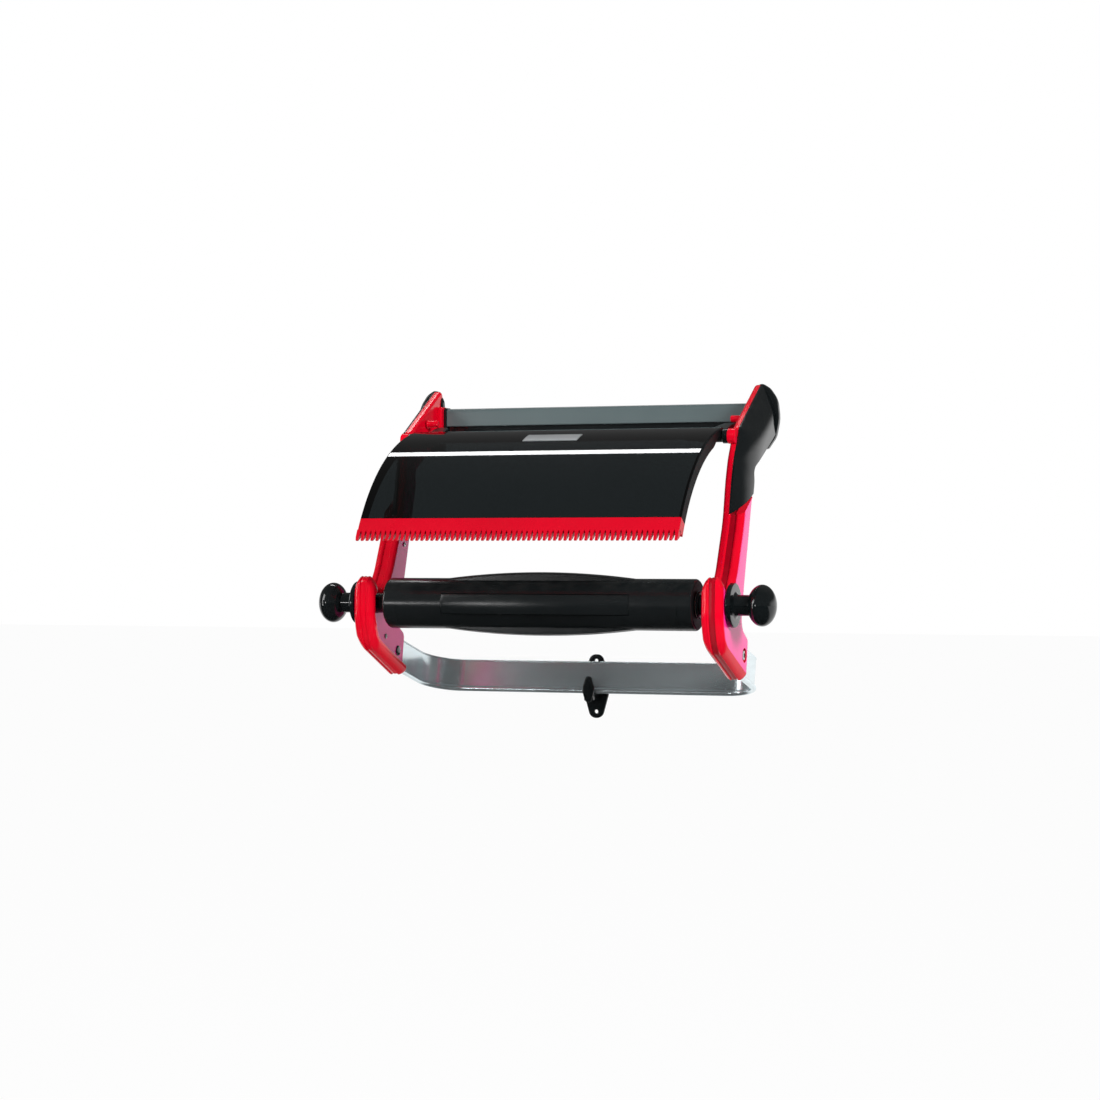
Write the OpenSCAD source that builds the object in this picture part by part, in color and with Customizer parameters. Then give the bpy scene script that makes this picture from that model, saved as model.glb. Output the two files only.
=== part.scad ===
// Wall-hung holder for a large paper roll: two arms on a wall rail carry a lift-out
// spindle, and a hinged hood with a serrated edge hangs over the roll.
// Millimetres. X runs along the spindle, Y into the wall and Z up.
// The origin is the middle of the wall rail, on the wall.

/* [Overall] */
// Least clear distance between the two arms
arm_gap = 456; // [440:2:500]
// Distance from the wall to the spindle axis
axis_out = 224; // [218:1:240]
// Height of the wall rail's centre above the spindle axis
axis_drop = 252; // [248:1:265]
// Gap between pieces that move past each other
run_clear = 0.3; // [0.2:0.05:0.4]
// Gap around a fixed piece in its seat
fit_clear = 0.1; // [0.05:0.05:0.2]

/* [Arms] */
// Thickness of one half of an arm
arm_half_t = 15; // [14:0.5:18]
// Height of the tongue in front of the axle, above the axis
tongue_top = 36; // [30:1:42]
// Reach of the tongue's front face from the axis
tongue_front = 34; // [32:1:40]
// Depth of the edge step on the arm's two faces
rim_step = 3; // [2:0.5:4]
// Depth of the groove along the joint of the two halves
groove_depth = 2; // [1:0.5:3]
// Width of the groove in each half
groove_w = 1.5; // [1:0.25:2]
// Depth of the recess in the inner face of the lobe
recess_depth = 8; // [6:0.5:9]
// Width of the rim left around the recess
recess_rim = 10; // [9:0.5:12]
// Height of the lower edge of the top cover above the axis
cover_edge_z = 125; // [110:1:140]
// Slope of the lower edge of the top cover, degrees
cover_edge_slope = 30; // [15:1:35]
// Thickness of the end plate on the outside of an arm
end_plate_t = 6; // [4:0.5:8]

/* [Wall rail] */
// Height of the rail
rail_h = 34; // [30:1:40]
// Depth of the rail from the wall to its front face
rail_d = 27; // [22:1:32]
// Thickness of the steel of the rail
rail_t = 2.5; // [2:0.25:3]
// Thickness of the rail's front cover
rail_cover_t = 2.5; // [2:0.25:3]
// Distance between the two wall screws of the rail
rail_hole_gap = 300; // [200:10:380]
// Diameter of the wall screw holes of the rail
rail_hole_d = 7; // [5:0.5:8]

/* [Hood] */
// Half of the hood's width
hood_half = 221; // [212:0.5:240]
// Outer radius of the hood's curve
hood_r = 270; // [260:1:280]
// Thickness of the hood
hood_t = 3; // [2.5:0.25:4]
// Angle from the vertical at which the hood starts
hood_start = 8.5; // [8:0.5:9]
// Depth of the lips at the hood's two ends
lip_depth = 18; // [12:1:20]
// Distance of the hinge axis from the spindle axis, towards the wall
hinge_y = 95; // [93:0.5:98]
// Height of the hinge axis above the spindle axis
hinge_z = 222; // [220:0.5:226]
// Diameter of the hinge rod
hinge_d = 10; // [8:0.5:11]
// Outer diameter of the hinge sleeves
sleeve_d = 16; // [15.5:0.5:18]
// Length of each hinge sleeve
sleeve_len = 30; // [20:1:40]

/* [Cutter strip] */
// Angle from the vertical at which the hood ends and the strip starts
strip_start = 57.3; // [55:0.1:58]
// Angle from the vertical of the tips of the teeth
strip_end = 64.4; // [64:0.1:66]
// Thickness of the strip
strip_t = 8; // [7:0.25:9]
// Thickness of the tips of the teeth
tip_t = 2; // [1.5:0.25:3]
// Distance between teeth
tooth_pitch = 7.05; // [5:0.05:10]
// Height of the teeth
tooth_h = 16; // [10:0.5:18]
// Width of the flat tip of a tooth
tooth_tip = 3.4; // [1.5:0.1:3.8]

/* [Spindle] */
// Diameter of the axle in its cradles
axle_d = 27; // [24:0.5:28]
// Diameter of the axle's ends in the knobs
axle_end_d = 12; // [10:0.5:16]
// Length of the body that carries the roll's core
body_len = 432; // [420:1:480]
// Diameter of the body
body_d = 67.6; // [64:0.2:72]
// Wall of the body's tube
body_wall = 4; // [3.5:0.25:5]
// Length of each end cap
cap_len = 20; // [16:1:26]
// Rounding of the end caps
cap_round = 8; // [5:0.5:10]
// Length of the sprung grips
grip_len = 262; // [220:2:300]
// Width of the sprung grips
grip_w = 26; // [20:0.5:30]
// Height of the grips' arch over the body
grip_rise = 8.2; // [6:0.2:9]
// Thickness of the grips at their ends
grip_t = 3.5; // [3:0.25:4]
// Radial wall of the bearing bushes
bush_wall = 3.5; // [2.5:0.25:5]

/* [Knobs] */
// Diameter of the flange outside the arm
flange_d = 58; // [50:1:64]
// Thickness of the flange
flange_t = 6.6; // [5:0.2:8]
// Diameter of the knob's neck
neck_d = 27; // [24:0.5:30]
// Diameter of the knob's ball
ball_d = 54; // [46:1:60]
// Length of the knob's ball along the axis
ball_len = 37; // [30:1:44]
// Length from the flange to the middle of the ball
ball_out = 35; // [34:1:44]

/* [Strap] */
// Height of the strap
strap_h = 40; // [36:1:42]
// Thickness of the strap
strap_t = 2.5; // [2:0.25:3]
// Corner radius of the strap
strap_corner = 50; // [40:1:60]
// Slope of the strap down to the wall, degrees
strap_slope = 15; // [12:0.5:16]
// Radius of the rolled bead on the strap's lower edge
strap_bead = 4; // [3:0.25:4.5]
// Distance of the strap bolt from the spindle axis, towards the wall
bolt_y = 69; // [66:0.5:71]
// Depth of the strap bolt below the spindle axis
bolt_drop = 67; // [65:0.5:68]
// Diameter of the strap bolt
bolt_d = 8; // [6:0.5:8]

/* [Wall hook] */
// Width of the hook's plate
hook_w = 42; // [34:1:46]
// Height of the hook's plate
hook_h = 89; // [86:1:96]
// Thickness of the hook's plate
hook_t = 4; // [3:0.25:4.5]
// Distance between the two screw holes of the hook
hook_hole_gap = 71; // [66:1:74]
// Diameter of the screw holes of the hook
hook_hole_d = 5.5; // [4.5:0.25:6]
// Width of the hook's lip
lip_w = 19; // [14:1:24]
// Height of the hook's lip
lip_h = 36; // [30:1:40]
// Thickness of the hook's lip
lip_t = 6; // [4:0.5:8]
// Distance from the wall to the back of the lip
lip_out = 34; // [30:1:38]

/* [Hidden] */
$fn = 96;
eps = 0.01;
arc_step = 12;
many = 600;

red = "#d6082c";
black = "#171b1d";
smoke = "#252c2e";
steel = "#b9bdc0";
silver = "#d4d7d9";
dark_steel = "#6d7275";

// Arm planes, from the middle of the part outwards. The arms stand clear of the hood and the body.
hood_side = 7;
body_side = 12;
arm_in = max(arm_gap / 2, hood_half + hood_side, body_len / 2 + body_side);
arm_mid = arm_in + arm_half_t;
arm_out = arm_mid + arm_half_t;
recess_x = arm_in + recess_depth;

// Cradle
axle_r = axle_d / 2;
seat_r = axle_r + run_clear;
cradle_floor = 4;

// Outline of an arm about the spindle axis: [y, z, corner radius], anticlockwise.
// The lobe follows the axis, and the top follows the wall and the rail.
wall_gap = 1.5;
arm_back = axis_out - wall_gap;
arm_outline = [
    [-seat_r, tongue_top, 6],
    [-tongue_front, tongue_top, 9],
    [-tongue_front - 2, -22, 60],
    [-22, -60, 36],
    [75, -104, 8],
    [84, -92, 4],
    [92, -45, 7],
    [60, -27, 14],
    [72, 20, 60],
    [119, 162, 30],
    [117, 180, 14],
    [arm_back - 7, axis_drop - 22, 10],
    [arm_back, axis_drop + 10, 30],
    [arm_back - 1, axis_drop + 48, 5],
    [hinge_y - 8, hinge_z + 10, 12],
    [84, 192, 40],
    [65, 110, 100],
    [33, 46, 40],
    [seat_r, 20, 4],
    [seat_r, cradle_floor, 0],
    [-seat_r, cradle_floor, 0]
];

// Top cover
cover_gap = 0.4;
cover_pivot_y = 78;
cover_bulge = 4;

// Screws that hold the two halves of an arm: [y, z, plane of the head]
screw_edge = 5.2;
shell_screws_at = [
    [-seat_r - screw_edge, 0, recess_x],
    [27, -46, recess_x],
    [72, 79, arm_in],
    [90, 150, arm_in],
    [(hinge_y + axis_out) / 2 - 9, axis_drop - 32, arm_in]
];
screw_d = 4;
screw_head_d = 7;
screw_head_t = 1.8;
screw_into = 8;

// Rail
ear_screw_gap = 16;
ear_screw_d = 5;
ear_screw_len = 12;
ear_head_d = 9;
ear_head_t = 3;
cover_round = 6;
ear_d = rail_d - cover_round;
ear_y = -ear_d / 2;

// Hinge and hood: the sleeve hangs in the saddle, just under the hood
hinge_r = hinge_d / 2;
sleeve_r = sleeve_d / 2;
hinge_angle = 9;
sleeve_under = 0.8;
hinge_reach = hood_r - hood_t - sleeve_r - sleeve_under;
hood_y = hinge_y + hinge_reach * sin(hinge_angle);
hood_z = hinge_z - hinge_reach * cos(hinge_angle);
washer_t = 1;
washer_x = hood_half + run_clear;
boss_x = washer_x + washer_t;
boss_r = 11;
rod_sink = 11;
hood_in = hood_r - hood_t;
lip_start = 14;
lip_t_side = 3;
bracket_x = hood_half - lip_t_side - run_clear;
saddle_t = 3;
saddle_end = 22;
saddle_edge = 1;
rivet_angles = [14, 19];
rivet_d = 4;
rivet_head_d = 8;
rivet_head_t = 1.6;
rivet_sink = 2;
rivet_seat = saddle_t + fit_clear;

// Stop pegs and the lugs that rest under them
peg_d = 9.5;
peg_over = 4.7;
peg_shank_d = 5;
peg_shank_len = 9;
peg_dy = 65;
peg_dz = 26;
peg_y = hinge_y + peg_dy;
peg_z = hinge_z + peg_dz;
lug_h = 9;
lug_past = 6;
peg_dist = norm([peg_dy, peg_dz]);
peg_angle = atan2(peg_dz, peg_dy);
lug_drop = asin((peg_d / 2 + run_clear + lug_h / 2) / peg_dist);

// Cutter strip: a tongue behind the hood's edge and a bevel down to the tips
tongue_t = 2.5;
tongue_angle = 4;
strip_bevel = 36;
strip_in = hood_r - strip_t;

// Bare plate on the hood
plate_w = 77;
plate_t = 0.8;
plate_start = 17;
plate_end = 22.4;

// Body, grips and bushes
body_r = body_d / 2;
body_in = body_r - body_wall;
tube_half = body_len / 2 - cap_len;
grip_gap = 0.5;
grip_half = grip_len / 2;
grip_arc = (pow(grip_half, 2) + pow(grip_rise, 2)) / (2 * grip_rise);
grip_steps = 14;
bush_in = axle_r + run_clear;
bush_out = bush_in + bush_wall;
cap_plug = 12;
collar_r = axle_r + 4;
collar_t = 3.5;
collar_x = body_len / 2 + run_clear;
axle_half = arm_out + 0.8;
flange_x = arm_out + 1.3;
ball_x = flange_x + flange_t + ball_out;
axle_end = ball_x - 14;

// Strap and its bolt
strap_back = axis_out - 12;
strap_run = (strap_back - bolt_y) / cos(strap_slope);
strap_tab = 26;
strap_front = 14;
strap_top_bead = 1.7;
bolt_head_d = 13;
bolt_head_t = 5;
bolt_bore_d = 19;
bolt_bore_depth = 8;
nut_d = 12.8;
nut_t = 4;
nut_bore_d = 14;
nut_bore_depth = 5;
nut_cap_t = 1.4;

// Wall hook: the shelf lies just under the strap's bead
hook_z = -119;
strap_low = -bolt_drop - strap_run * sin(strap_slope) - strap_h / 2 * cos(strap_slope) - strap_bead;
shelf_top = strap_low - run_clear;
shelf_t = 9;

// Vectors and outlines

function unit(v) = v / norm(v);
function flat(p) = [p[0], p[1]];
function left_normal(v) = [-unit(v)[1], unit(v)[0]];
function before(points, i) = points[(i + len(points) - 1) % len(points)];
function after(points, i) = points[(i + 1) % len(points)];

// Points of the arc that rounds corner b between a and c with radius r
function corner_arc(a, b, c, r) =
    let (
        u = unit(a - b),
        w = unit(c - b),
        half = acos(u * w) / 2,
        centre = b + unit(u + w) * r / sin(half),
        first = b + u * r / tan(half) - centre,
        last = b + w * r / tan(half) - centre,
        from = atan2(first[1], first[0]),
        to = atan2(last[1], last[0]),
        turn = (to - from + 540) % 360 - 180,
        steps = max(1, ceil(abs(turn) / arc_step))
    )
    [for (i = [0 : steps]) centre + r * [cos(from + turn * i / steps), sin(from + turn * i / steps)]];

// A closed outline with each corner rounded to its own radius
function rounded(points) = [
    for (i = [0 : len(points) - 1])
        let (p = points[i])
            each (p[2] == 0
                ? [flat(p)]
                : corner_arc(flat(before(points, i)), flat(p), flat(after(points, i)), p[2]))
];

// The same outline moved inwards by d, with its corner radii following
function inset(points, d) = [
    for (i = [0 : len(points) - 1])
        let (
            p = points[i],
            into = flat(p) - flat(before(points, i)),
            out = flat(after(points, i)) - flat(p),
            n1 = left_normal(into),
            n2 = left_normal(out),
            q = flat(p) + (n1 + n2) / (1 + n1 * n2) * d,
            bend = sign(cross(into, out))
        )
            [q[0], q[1], p[2] == 0 ? 0 : max(0.5, p[2] - bend * d)]
];

// Placing

// Moves children from the spindle axis to their place by the wall
module at_axis() translate([0, -axis_out, -axis_drop]) children();

// Draws children on the left side as their mirror image
module on_left() mirror([1, 0, 0]) children();

// Extrudes a y, z outline along X
module slab(x0, x1, points) {
    translate([x0, 0, 0]) rotate([90, 0, 90]) linear_extrude(height = x1 - x0) polygon(points);
}

// Cylinder along X at y, z
module bar(x0, x1, r, y = 0, z = 0) {
    translate([x0, y, z]) rotate([0, 90, 0]) cylinder(r = r, h = x1 - x0);
}

// Arms

// Everything above the slanted lower edge of the top cover
module above_cover_edge(gap) {
    translate([0, cover_pivot_y, cover_edge_z])
        rotate([cover_edge_slope, 0, 0])
            translate([-many, -many, gap])
                cube([2 * many, 2 * many, many]);
}

// The flat tab at the end of the strap, with room around it
module strap_seat() {
    translate([arm_mid, bolt_y, -bolt_drop])
        rotate([-strap_slope, 0, 0])
            translate([-strap_t / 2 - fit_clear, -strap_front - fit_clear, -strap_h / 2 - run_clear])
                cube([
                    strap_t + 2 * fit_clear,
                    strap_front + strap_tab + 2 * strap_h,
                    strap_h + 2 * run_clear
                ]);
}

module cradle_cut() bar(arm_in - many / 2, arm_out + many / 2, seat_r);

module shell_screw_holes() {
    for (s = shell_screws_at)
        bar(
            s[2] - screw_head_t - eps, arm_mid + screw_into + fit_clear,
            screw_d / 2 + fit_clear, s[0], s[1]
        );
}

module ear_screw_holes() {
    for (k = [-1, 1])
        bar(arm_in - eps, arm_in + ear_screw_len + fit_clear, ear_screw_d / 2 + fit_clear,
            axis_out + ear_y, axis_drop + k * ear_screw_gap / 2);
}

// Inner half of the right arm: rim, groove, recess in the lobe and hinge boss
module arm_inner() {
    color(red) at_axis() difference() {
        union() {
            slab(arm_in, arm_in + rim_step, rounded(inset(arm_outline, rim_step)));
            slab(arm_in + rim_step, arm_mid - groove_w, rounded(arm_outline));
            slab(arm_mid - groove_w, arm_mid, rounded(inset(arm_outline, groove_depth)));
            bar(boss_x, arm_in + rim_step, boss_r, hinge_y, hinge_z);
        }
        intersection() {
            translate([0, recess_rim, recess_rim * 0.8])
                slab(arm_in - eps, recess_x, rounded(arm_outline));
            translate([0, -many, -many]) cube([many, 2 * many, many + seat_r]);
        }
        cradle_cut();
        strap_seat();
        bar(boss_x - eps, arm_in + rod_sink, hinge_r + fit_clear, hinge_y, hinge_z);
        bar(arm_in - eps, arm_in + peg_shank_len + fit_clear, peg_shank_d / 2 + fit_clear,
            peg_y, peg_z);
        bar(recess_x - eps, arm_mid + eps, bolt_d / 2 + fit_clear, bolt_y, -bolt_drop);
        bar(recess_x - eps, recess_x + nut_bore_depth, nut_bore_d / 2, bolt_y, -bolt_drop);
        shell_screw_holes();
        ear_screw_holes();
    }
}

// Lower part of the outer half, with the counterbore for the strap bolt
module arm_outer() {
    color(red) at_axis() difference() {
        union() {
            slab(arm_mid, arm_mid + groove_w, rounded(inset(arm_outline, groove_depth)));
            slab(arm_mid + groove_w, arm_out - rim_step, rounded(arm_outline));
            slab(arm_out - rim_step, arm_out, rounded(inset(arm_outline, rim_step)));
        }
        above_cover_edge(-cover_gap / 2);
        cradle_cut();
        strap_seat();
        bar(arm_mid - eps, arm_out + eps, bolt_d / 2 + fit_clear, bolt_y, -bolt_drop);
        bar(arm_out - bolt_bore_depth, arm_out + eps, bolt_bore_d / 2, bolt_y, -bolt_drop);
        shell_screw_holes();
    }
}

// Black cover over the top of the outer half
module top_cover() {
    color(black) at_axis() difference() {
        intersection() {
            union() {
                slab(arm_mid, arm_mid + groove_w, rounded(inset(arm_outline, groove_depth)));
                slab(arm_mid + groove_w, arm_out - cover_bulge, rounded(arm_outline));
                slab(arm_out - cover_bulge, arm_out, rounded(inset(arm_outline, cover_bulge)));
            }
            above_cover_edge(cover_gap / 2);
        }
        shell_screw_holes();
    }
}

// Rounded black plate outside the arm at the wall
module end_plate() {
    plate_outline = [
        [axis_out - 58, axis_drop - 46, 6],
        [axis_out - 12, axis_drop - 27, 18],
        [axis_out, axis_drop - 4, 16],
        [axis_out, axis_drop + 16, 16],
        [axis_out - 28, axis_drop + 38, 8],
        [axis_out - 44, axis_drop + 20, 30]
    ];
    color(black) at_axis() slab(arm_out, arm_out + end_plate_t, rounded(plate_outline));
}

module arm_screws() {
    color(dark_steel) at_axis()
        for (s = shell_screws_at) {
            bar(s[2] - screw_head_t, s[2], screw_head_d / 2, s[0], s[1]);
            bar(s[2] - eps, arm_mid + screw_into, screw_d / 2, s[0], s[1]);
        }
}

// Wall rail

// Steel back plate with an ear at each end
module wall_rail() {
    color(dark_steel) difference() {
        union() {
            translate([-arm_in, -rail_t, -rail_h / 2]) cube([2 * arm_in, rail_t, rail_h]);
            for (k = [0, 1])
                translate([k * (2 * arm_in - rail_t) - arm_in, -ear_d, -rail_h / 2])
                    cube([rail_t, ear_d, rail_h]);
        }
        for (k = [-1, 1]) {
            translate([k * rail_hole_gap / 2, eps, 0])
                rotate([90, 0, 0]) cylinder(d = rail_hole_d, h = rail_t + 2 * eps);
            for (x = [-arm_in - eps, arm_in - rail_t - eps])
                bar(x, x + rail_t + 2 * eps, ear_screw_d / 2 + fit_clear, ear_y, k * ear_screw_gap / 2);
        }
    }
}

// Glossy front of the rail, clipped round the back plate
module rail_cover() {
    skin = rail_cover_t + fit_clear;
    color(black) difference() {
        slab(-arm_in, arm_in, rounded([
            [-rail_d, -rail_h / 2 - skin, cover_round],
            [0, -rail_h / 2 - skin, 0],
            [0, rail_h / 2 + skin, 0],
            [-rail_d, rail_h / 2 + skin, cover_round]
        ]));
        slab(-arm_in - eps, arm_in + eps, rounded([
            [-rail_d + rail_cover_t, -rail_h / 2 - fit_clear, cover_round - rail_cover_t],
            [eps, -rail_h / 2 - fit_clear, 0],
            [eps, rail_h / 2 + fit_clear, 0],
            [-rail_d + rail_cover_t, rail_h / 2 + fit_clear, cover_round - rail_cover_t]
        ]));
    }
}

// Screws through the rail's ears into the arms
module rail_ear_screws() {
    color(steel)
        for (s = [0, 1], z = [-ear_screw_gap / 2, ear_screw_gap / 2])
            mirror([s, 0, 0]) {
                bar(arm_in - rail_t - ear_head_t, arm_in - rail_t, ear_head_d / 2, ear_y, z);
                bar(arm_in - rail_t - eps, arm_in + ear_screw_len, ear_screw_d / 2, ear_y, z);
            }
}

// Hood

// Part of a ring about the hood's centre, between two angles from the vertical
module hood_sector(r0, r1, a0, a1, x0, x1) {
    translate([0, hood_y, hood_z])
        rotate([90, 0, 90])
            rotate([0, 0, 90 + a0])
                rotate_extrude(angle = a1 - a0)
                    translate([r0, x0]) square([r1 - r0, x1 - x0]);
}

// Places children on the hood's curve at an angle, with Z pointing outwards
module on_hood(a) translate([0, hood_y, hood_z]) rotate([a, 0, 0]) children();

module rivet_places() {
    for (a = rivet_angles, k = [0.25, 0.75])
        on_hood(a) translate([bracket_x - k * sleeve_len, 0, hood_in]) children();
}

module rivet_holes(from, depth) {
    rivet_places() translate([0, 0, from]) cylinder(d = rivet_d + 2 * fit_clear, h = depth);
}

// Smoked shell with a lip at each end
module hood_shell() {
    color(smoke) at_axis() difference() {
        union() {
            hood_sector(hood_in, hood_r, hood_start, strip_start, -hood_half, hood_half);
            for (x = [-hood_half, hood_half - lip_t_side])
                hood_sector(hood_r - lip_depth, hood_in + eps, lip_start, strip_start, x, x + lip_t_side);
        }
        rivet_holes(-eps, rivet_sink + fit_clear);
        on_left() rivet_holes(-eps, rivet_sink + fit_clear);
    }
}

// Hinge sleeve, saddle under the hood and the lug that rests under the stop peg
module hood_bracket() {
    x0 = bracket_x - sleeve_len;
    color(black) at_axis() difference() {
        union() {
            bar(x0, bracket_x, sleeve_r, hinge_y, hinge_z);
            hood_sector(
                hood_in - saddle_t, hood_in, hood_start, saddle_end,
                x0 + saddle_edge, bracket_x - saddle_edge
            );
            translate([x0, hinge_y, hinge_z])
                rotate([peg_angle - lug_drop, 0, 0])
                    translate([0, 0, -lug_h / 2])
                        cube([sleeve_len, peg_dist + lug_past, lug_h]);
        }
        bar(x0 - eps, bracket_x + eps, hinge_r + run_clear / 2, hinge_y, hinge_z);
        rivet_holes(-saddle_t - eps, saddle_t + 2 * eps);
    }
}

// Rivets from inside the brackets into the hood
module hood_rivets() {
    color(steel) at_axis()
        for (s = [0, 1])
            mirror([s, 0, 0])
                rivet_places() {
                    translate([0, 0, -rivet_seat]) cylinder(d = rivet_d, h = rivet_seat + rivet_sink);
                    translate([0, 0, -rivet_seat - rivet_head_t])
                        cylinder(d = rivet_head_d, h = rivet_head_t);
                }
}

// Slot between two teeth, pointed at its top
module tooth_slot() {
    half = (tooth_pitch - tooth_tip) / 2;
    below = 3;
    shoulder = 0.6 * tooth_h;
    neck = 0.85 * half;
    translate([0, 0, hood_r - 2 * lip_depth])
        linear_extrude(height = 3 * lip_depth)
            polygon([[-half, -below], [half, -below], [half, 0], [neck, shoulder], [0, tooth_h],
                     [-neck, shoulder], [-half, 0]]);
}

// Red strip with a row of teeth for tearing the paper, flush with the hood
module cutter_strip() {
    teeth = floor(2 * hood_half / tooth_pitch);
    tongue_half = hood_half - lip_t_side - fit_clear;
    color(red) at_axis() difference() {
        union() {
            hood_sector(strip_in, hood_r, strip_start, strip_end, -hood_half, hood_half);
            hood_sector(hood_in - tongue_t, hood_in, strip_start - tongue_angle, strip_start + 1,
                -tongue_half, tongue_half);
            for (x = [-hood_half, hood_half - lip_t_side])
                hood_sector(hood_r - lip_depth, strip_in + eps, strip_start, strip_end, x, x + lip_t_side);
        }
        on_hood(strip_end)
            for (i = [0 : teeth - 1])
                translate([(i - (teeth - 1) / 2) * tooth_pitch, 0, 0]) tooth_slot();
        on_hood(strip_end)
            translate([-many / 2, 0, hood_r - tip_t])
                rotate([-strip_bevel, 0, 0])
                    translate([0, -many / 2, -many / 10]) cube([many, many, many / 10]);
    }
}

// Plain plate on the top of the hood
module blank_plate() {
    color(silver) at_axis()
        hood_sector(hood_r, hood_r + plate_t, plate_start, plate_end, -plate_w / 2, plate_w / 2);
}

module hinge_rod() {
    rod_half = arm_in + rod_sink - fit_clear;
    color(dark_steel) at_axis() bar(-rod_half, rod_half, hinge_r, hinge_y, hinge_z);
}

module hinge_washers() {
    color(silver) at_axis()
        for (s = [0, 1])
            mirror([s, 0, 0]) difference() {
                bar(washer_x, washer_x + washer_t, boss_r, hinge_y, hinge_z);
                bar(washer_x - eps, washer_x + washer_t + eps, hinge_r + fit_clear, hinge_y, hinge_z);
            }
}

// Pegs on the arms that hold the hood's lugs down
module stop_pegs() {
    color(red) at_axis()
        for (s = [0, 1])
            mirror([s, 0, 0]) {
                bar(bracket_x - peg_over, arm_in, peg_d / 2, peg_y, peg_z);
                bar(arm_in - eps, arm_in + peg_shank_len, peg_shank_d / 2, peg_y, peg_z);
            }
}

// Spindle

module spindle_axle() {
    color(black) at_axis() {
        bar(-axle_half, axle_half, axle_r);
        bar(-axle_end, axle_end, axle_end_d / 2);
    }
}

// Rings on the axle that keep the body from sliding
module axle_collars() {
    color(black) at_axis()
        for (s = [0, 1])
            mirror([s, 0, 0]) difference() {
                bar(collar_x, collar_x + collar_t, collar_r);
                bar(collar_x - eps, collar_x + collar_t + eps, axle_r + fit_clear);
            }
}

// Flange, waisted neck and ball, turned about the axis, with a socket for the axle's end
module knob() {
    waist = neck_d / 2;
    fillet = min(flange_d / 2 - waist, ball_out) / 3;
    flange_edge = 1.5;
    turned_steps = 24;
    ball_start = acos(waist / (ball_d / 2));
    fillet_arc = [for (i = [0 : 6]) [
        waist + fillet * (1 - sin(15 * i)),
        flange_t + fillet * (1 - cos(15 * i))
    ]];
    ball_arc = [for (i = [0 : turned_steps - 1])
        let (a = -ball_start + (90 + ball_start) * i / turned_steps)
            [ball_d / 2 * cos(a), flange_t + ball_out + ball_len / 2 * sin(a)]
    ];
    profile = concat(
        [[0, 0], [flange_d / 2 - flange_edge, 0], [flange_d / 2, flange_edge],
         [flange_d / 2, flange_t - flange_edge], [flange_d / 2 - flange_edge, flange_t]],
        fillet_arc,
        ball_arc,
        [[0, flange_t + ball_out + ball_len / 2]]
    );
    color(black) at_axis() difference() {
        translate([flange_x, 0, 0]) rotate([0, 90, 0]) rotate_extrude() polygon(profile);
        bar(flange_x - eps, axle_end + fit_clear, axle_end_d / 2 + fit_clear);
    }
}

// Turned ring that the arched grips are cut from: radius at x along the body
function grip_radius(x) = body_r + grip_rise - grip_arc + sqrt(pow(grip_arc, 2) - pow(x, 2));

module grip(angle) {
    xs = [for (i = [0 : grip_steps]) -grip_half + grip_len * i / grip_steps];
    profile = concat(
        [for (x = xs) [grip_radius(x), x]],
        [[body_r - grip_t, grip_half], [body_r - grip_t, -grip_half]]
    );
    color(black) at_axis() rotate([angle, 0, 0]) intersection() {
        rotate([0, 90, 0]) rotate_extrude() polygon(profile);
        translate([-grip_half, -grip_w / 2, 0]) cube([grip_len, grip_w, 2 * body_r]);
    }
}

// Tube with a window for each grip
module core_tube() {
    window_len = grip_len + 2 * grip_gap;
    window_w = grip_w + 2 * grip_gap;
    color(black) at_axis() difference() {
        bar(-tube_half, tube_half, body_r);
        bar(-tube_half - eps, tube_half + eps, body_in);
        for (a = [0, 90, 180, 270])
            rotate([a, 0, 0])
                translate([-window_len / 2, -window_w / 2, 0]) cube([window_len, window_w, 2 * body_r]);
    }
}

// Rounded cap that plugs into the tube and holds a bush
module end_cap() {
    x1 = body_len / 2;
    round_steps = 6;
    plug_r = body_in - fit_clear;
    edge = [for (i = [0 : round_steps])
        let (a = 90 * i / round_steps)
            [body_r - cap_round + cap_round * cos(a), x1 - cap_round + cap_round * sin(a)]
    ];
    hub_r = bush_out + fit_clear;
    profile = concat(
        [
            [hub_r, tube_half - cap_plug],
            [plug_r, tube_half - cap_plug],
            [plug_r, tube_half],
            [body_r, tube_half]
        ],
        edge,
        [[hub_r, x1]]
    );
    color(black) at_axis() rotate([0, 90, 0]) rotate_extrude() polygon(profile);
}

module bush() {
    color(silver) at_axis() difference() {
        bar(tube_half - cap_plug, body_len / 2, bush_out);
        bar(tube_half - cap_plug - eps, body_len / 2 + eps, bush_in);
    }
}

// Support strap and its fastenings

// Section of the strap: a flat band with a rolled lower edge and a thin upper bead
module strap_section() {
    translate([-strap_t / 2, -strap_h / 2]) square([strap_t, strap_h]);
    translate([0, -strap_h / 2]) circle(r = strap_bead);
    translate([0, strap_h / 2]) circle(r = strap_top_bead);
}

// Bends round the back from arm to arm, sloping down to the wall
module support_strap() {
    bend_y = strap_run - strap_corner;
    color(steel) at_axis() translate([0, bolt_y, -bolt_drop]) rotate([-strap_slope, 0, 0]) difference() {
        union() {
            for (s = [0, 1])
                mirror([s, 0, 0]) {
                    translate([arm_mid - strap_t / 2, -strap_front, -strap_h / 2])
                        cube([strap_t, strap_front + strap_tab + eps, strap_h]);
                    translate([arm_mid, bend_y, 0])
                        rotate([90, 0, 0]) linear_extrude(height = bend_y - strap_tab) strap_section();
                    translate([arm_mid - strap_corner, bend_y, 0])
                        rotate_extrude(angle = 90) translate([strap_corner, 0]) strap_section();
                }
            translate([strap_corner - arm_mid, strap_run, 0])
                rotate([90, 0, 90]) linear_extrude(height = 2 * (arm_mid - strap_corner)) strap_section();
        }
        bar(-arm_out, arm_out, bolt_d / 2 + fit_clear);
    }
}

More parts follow.
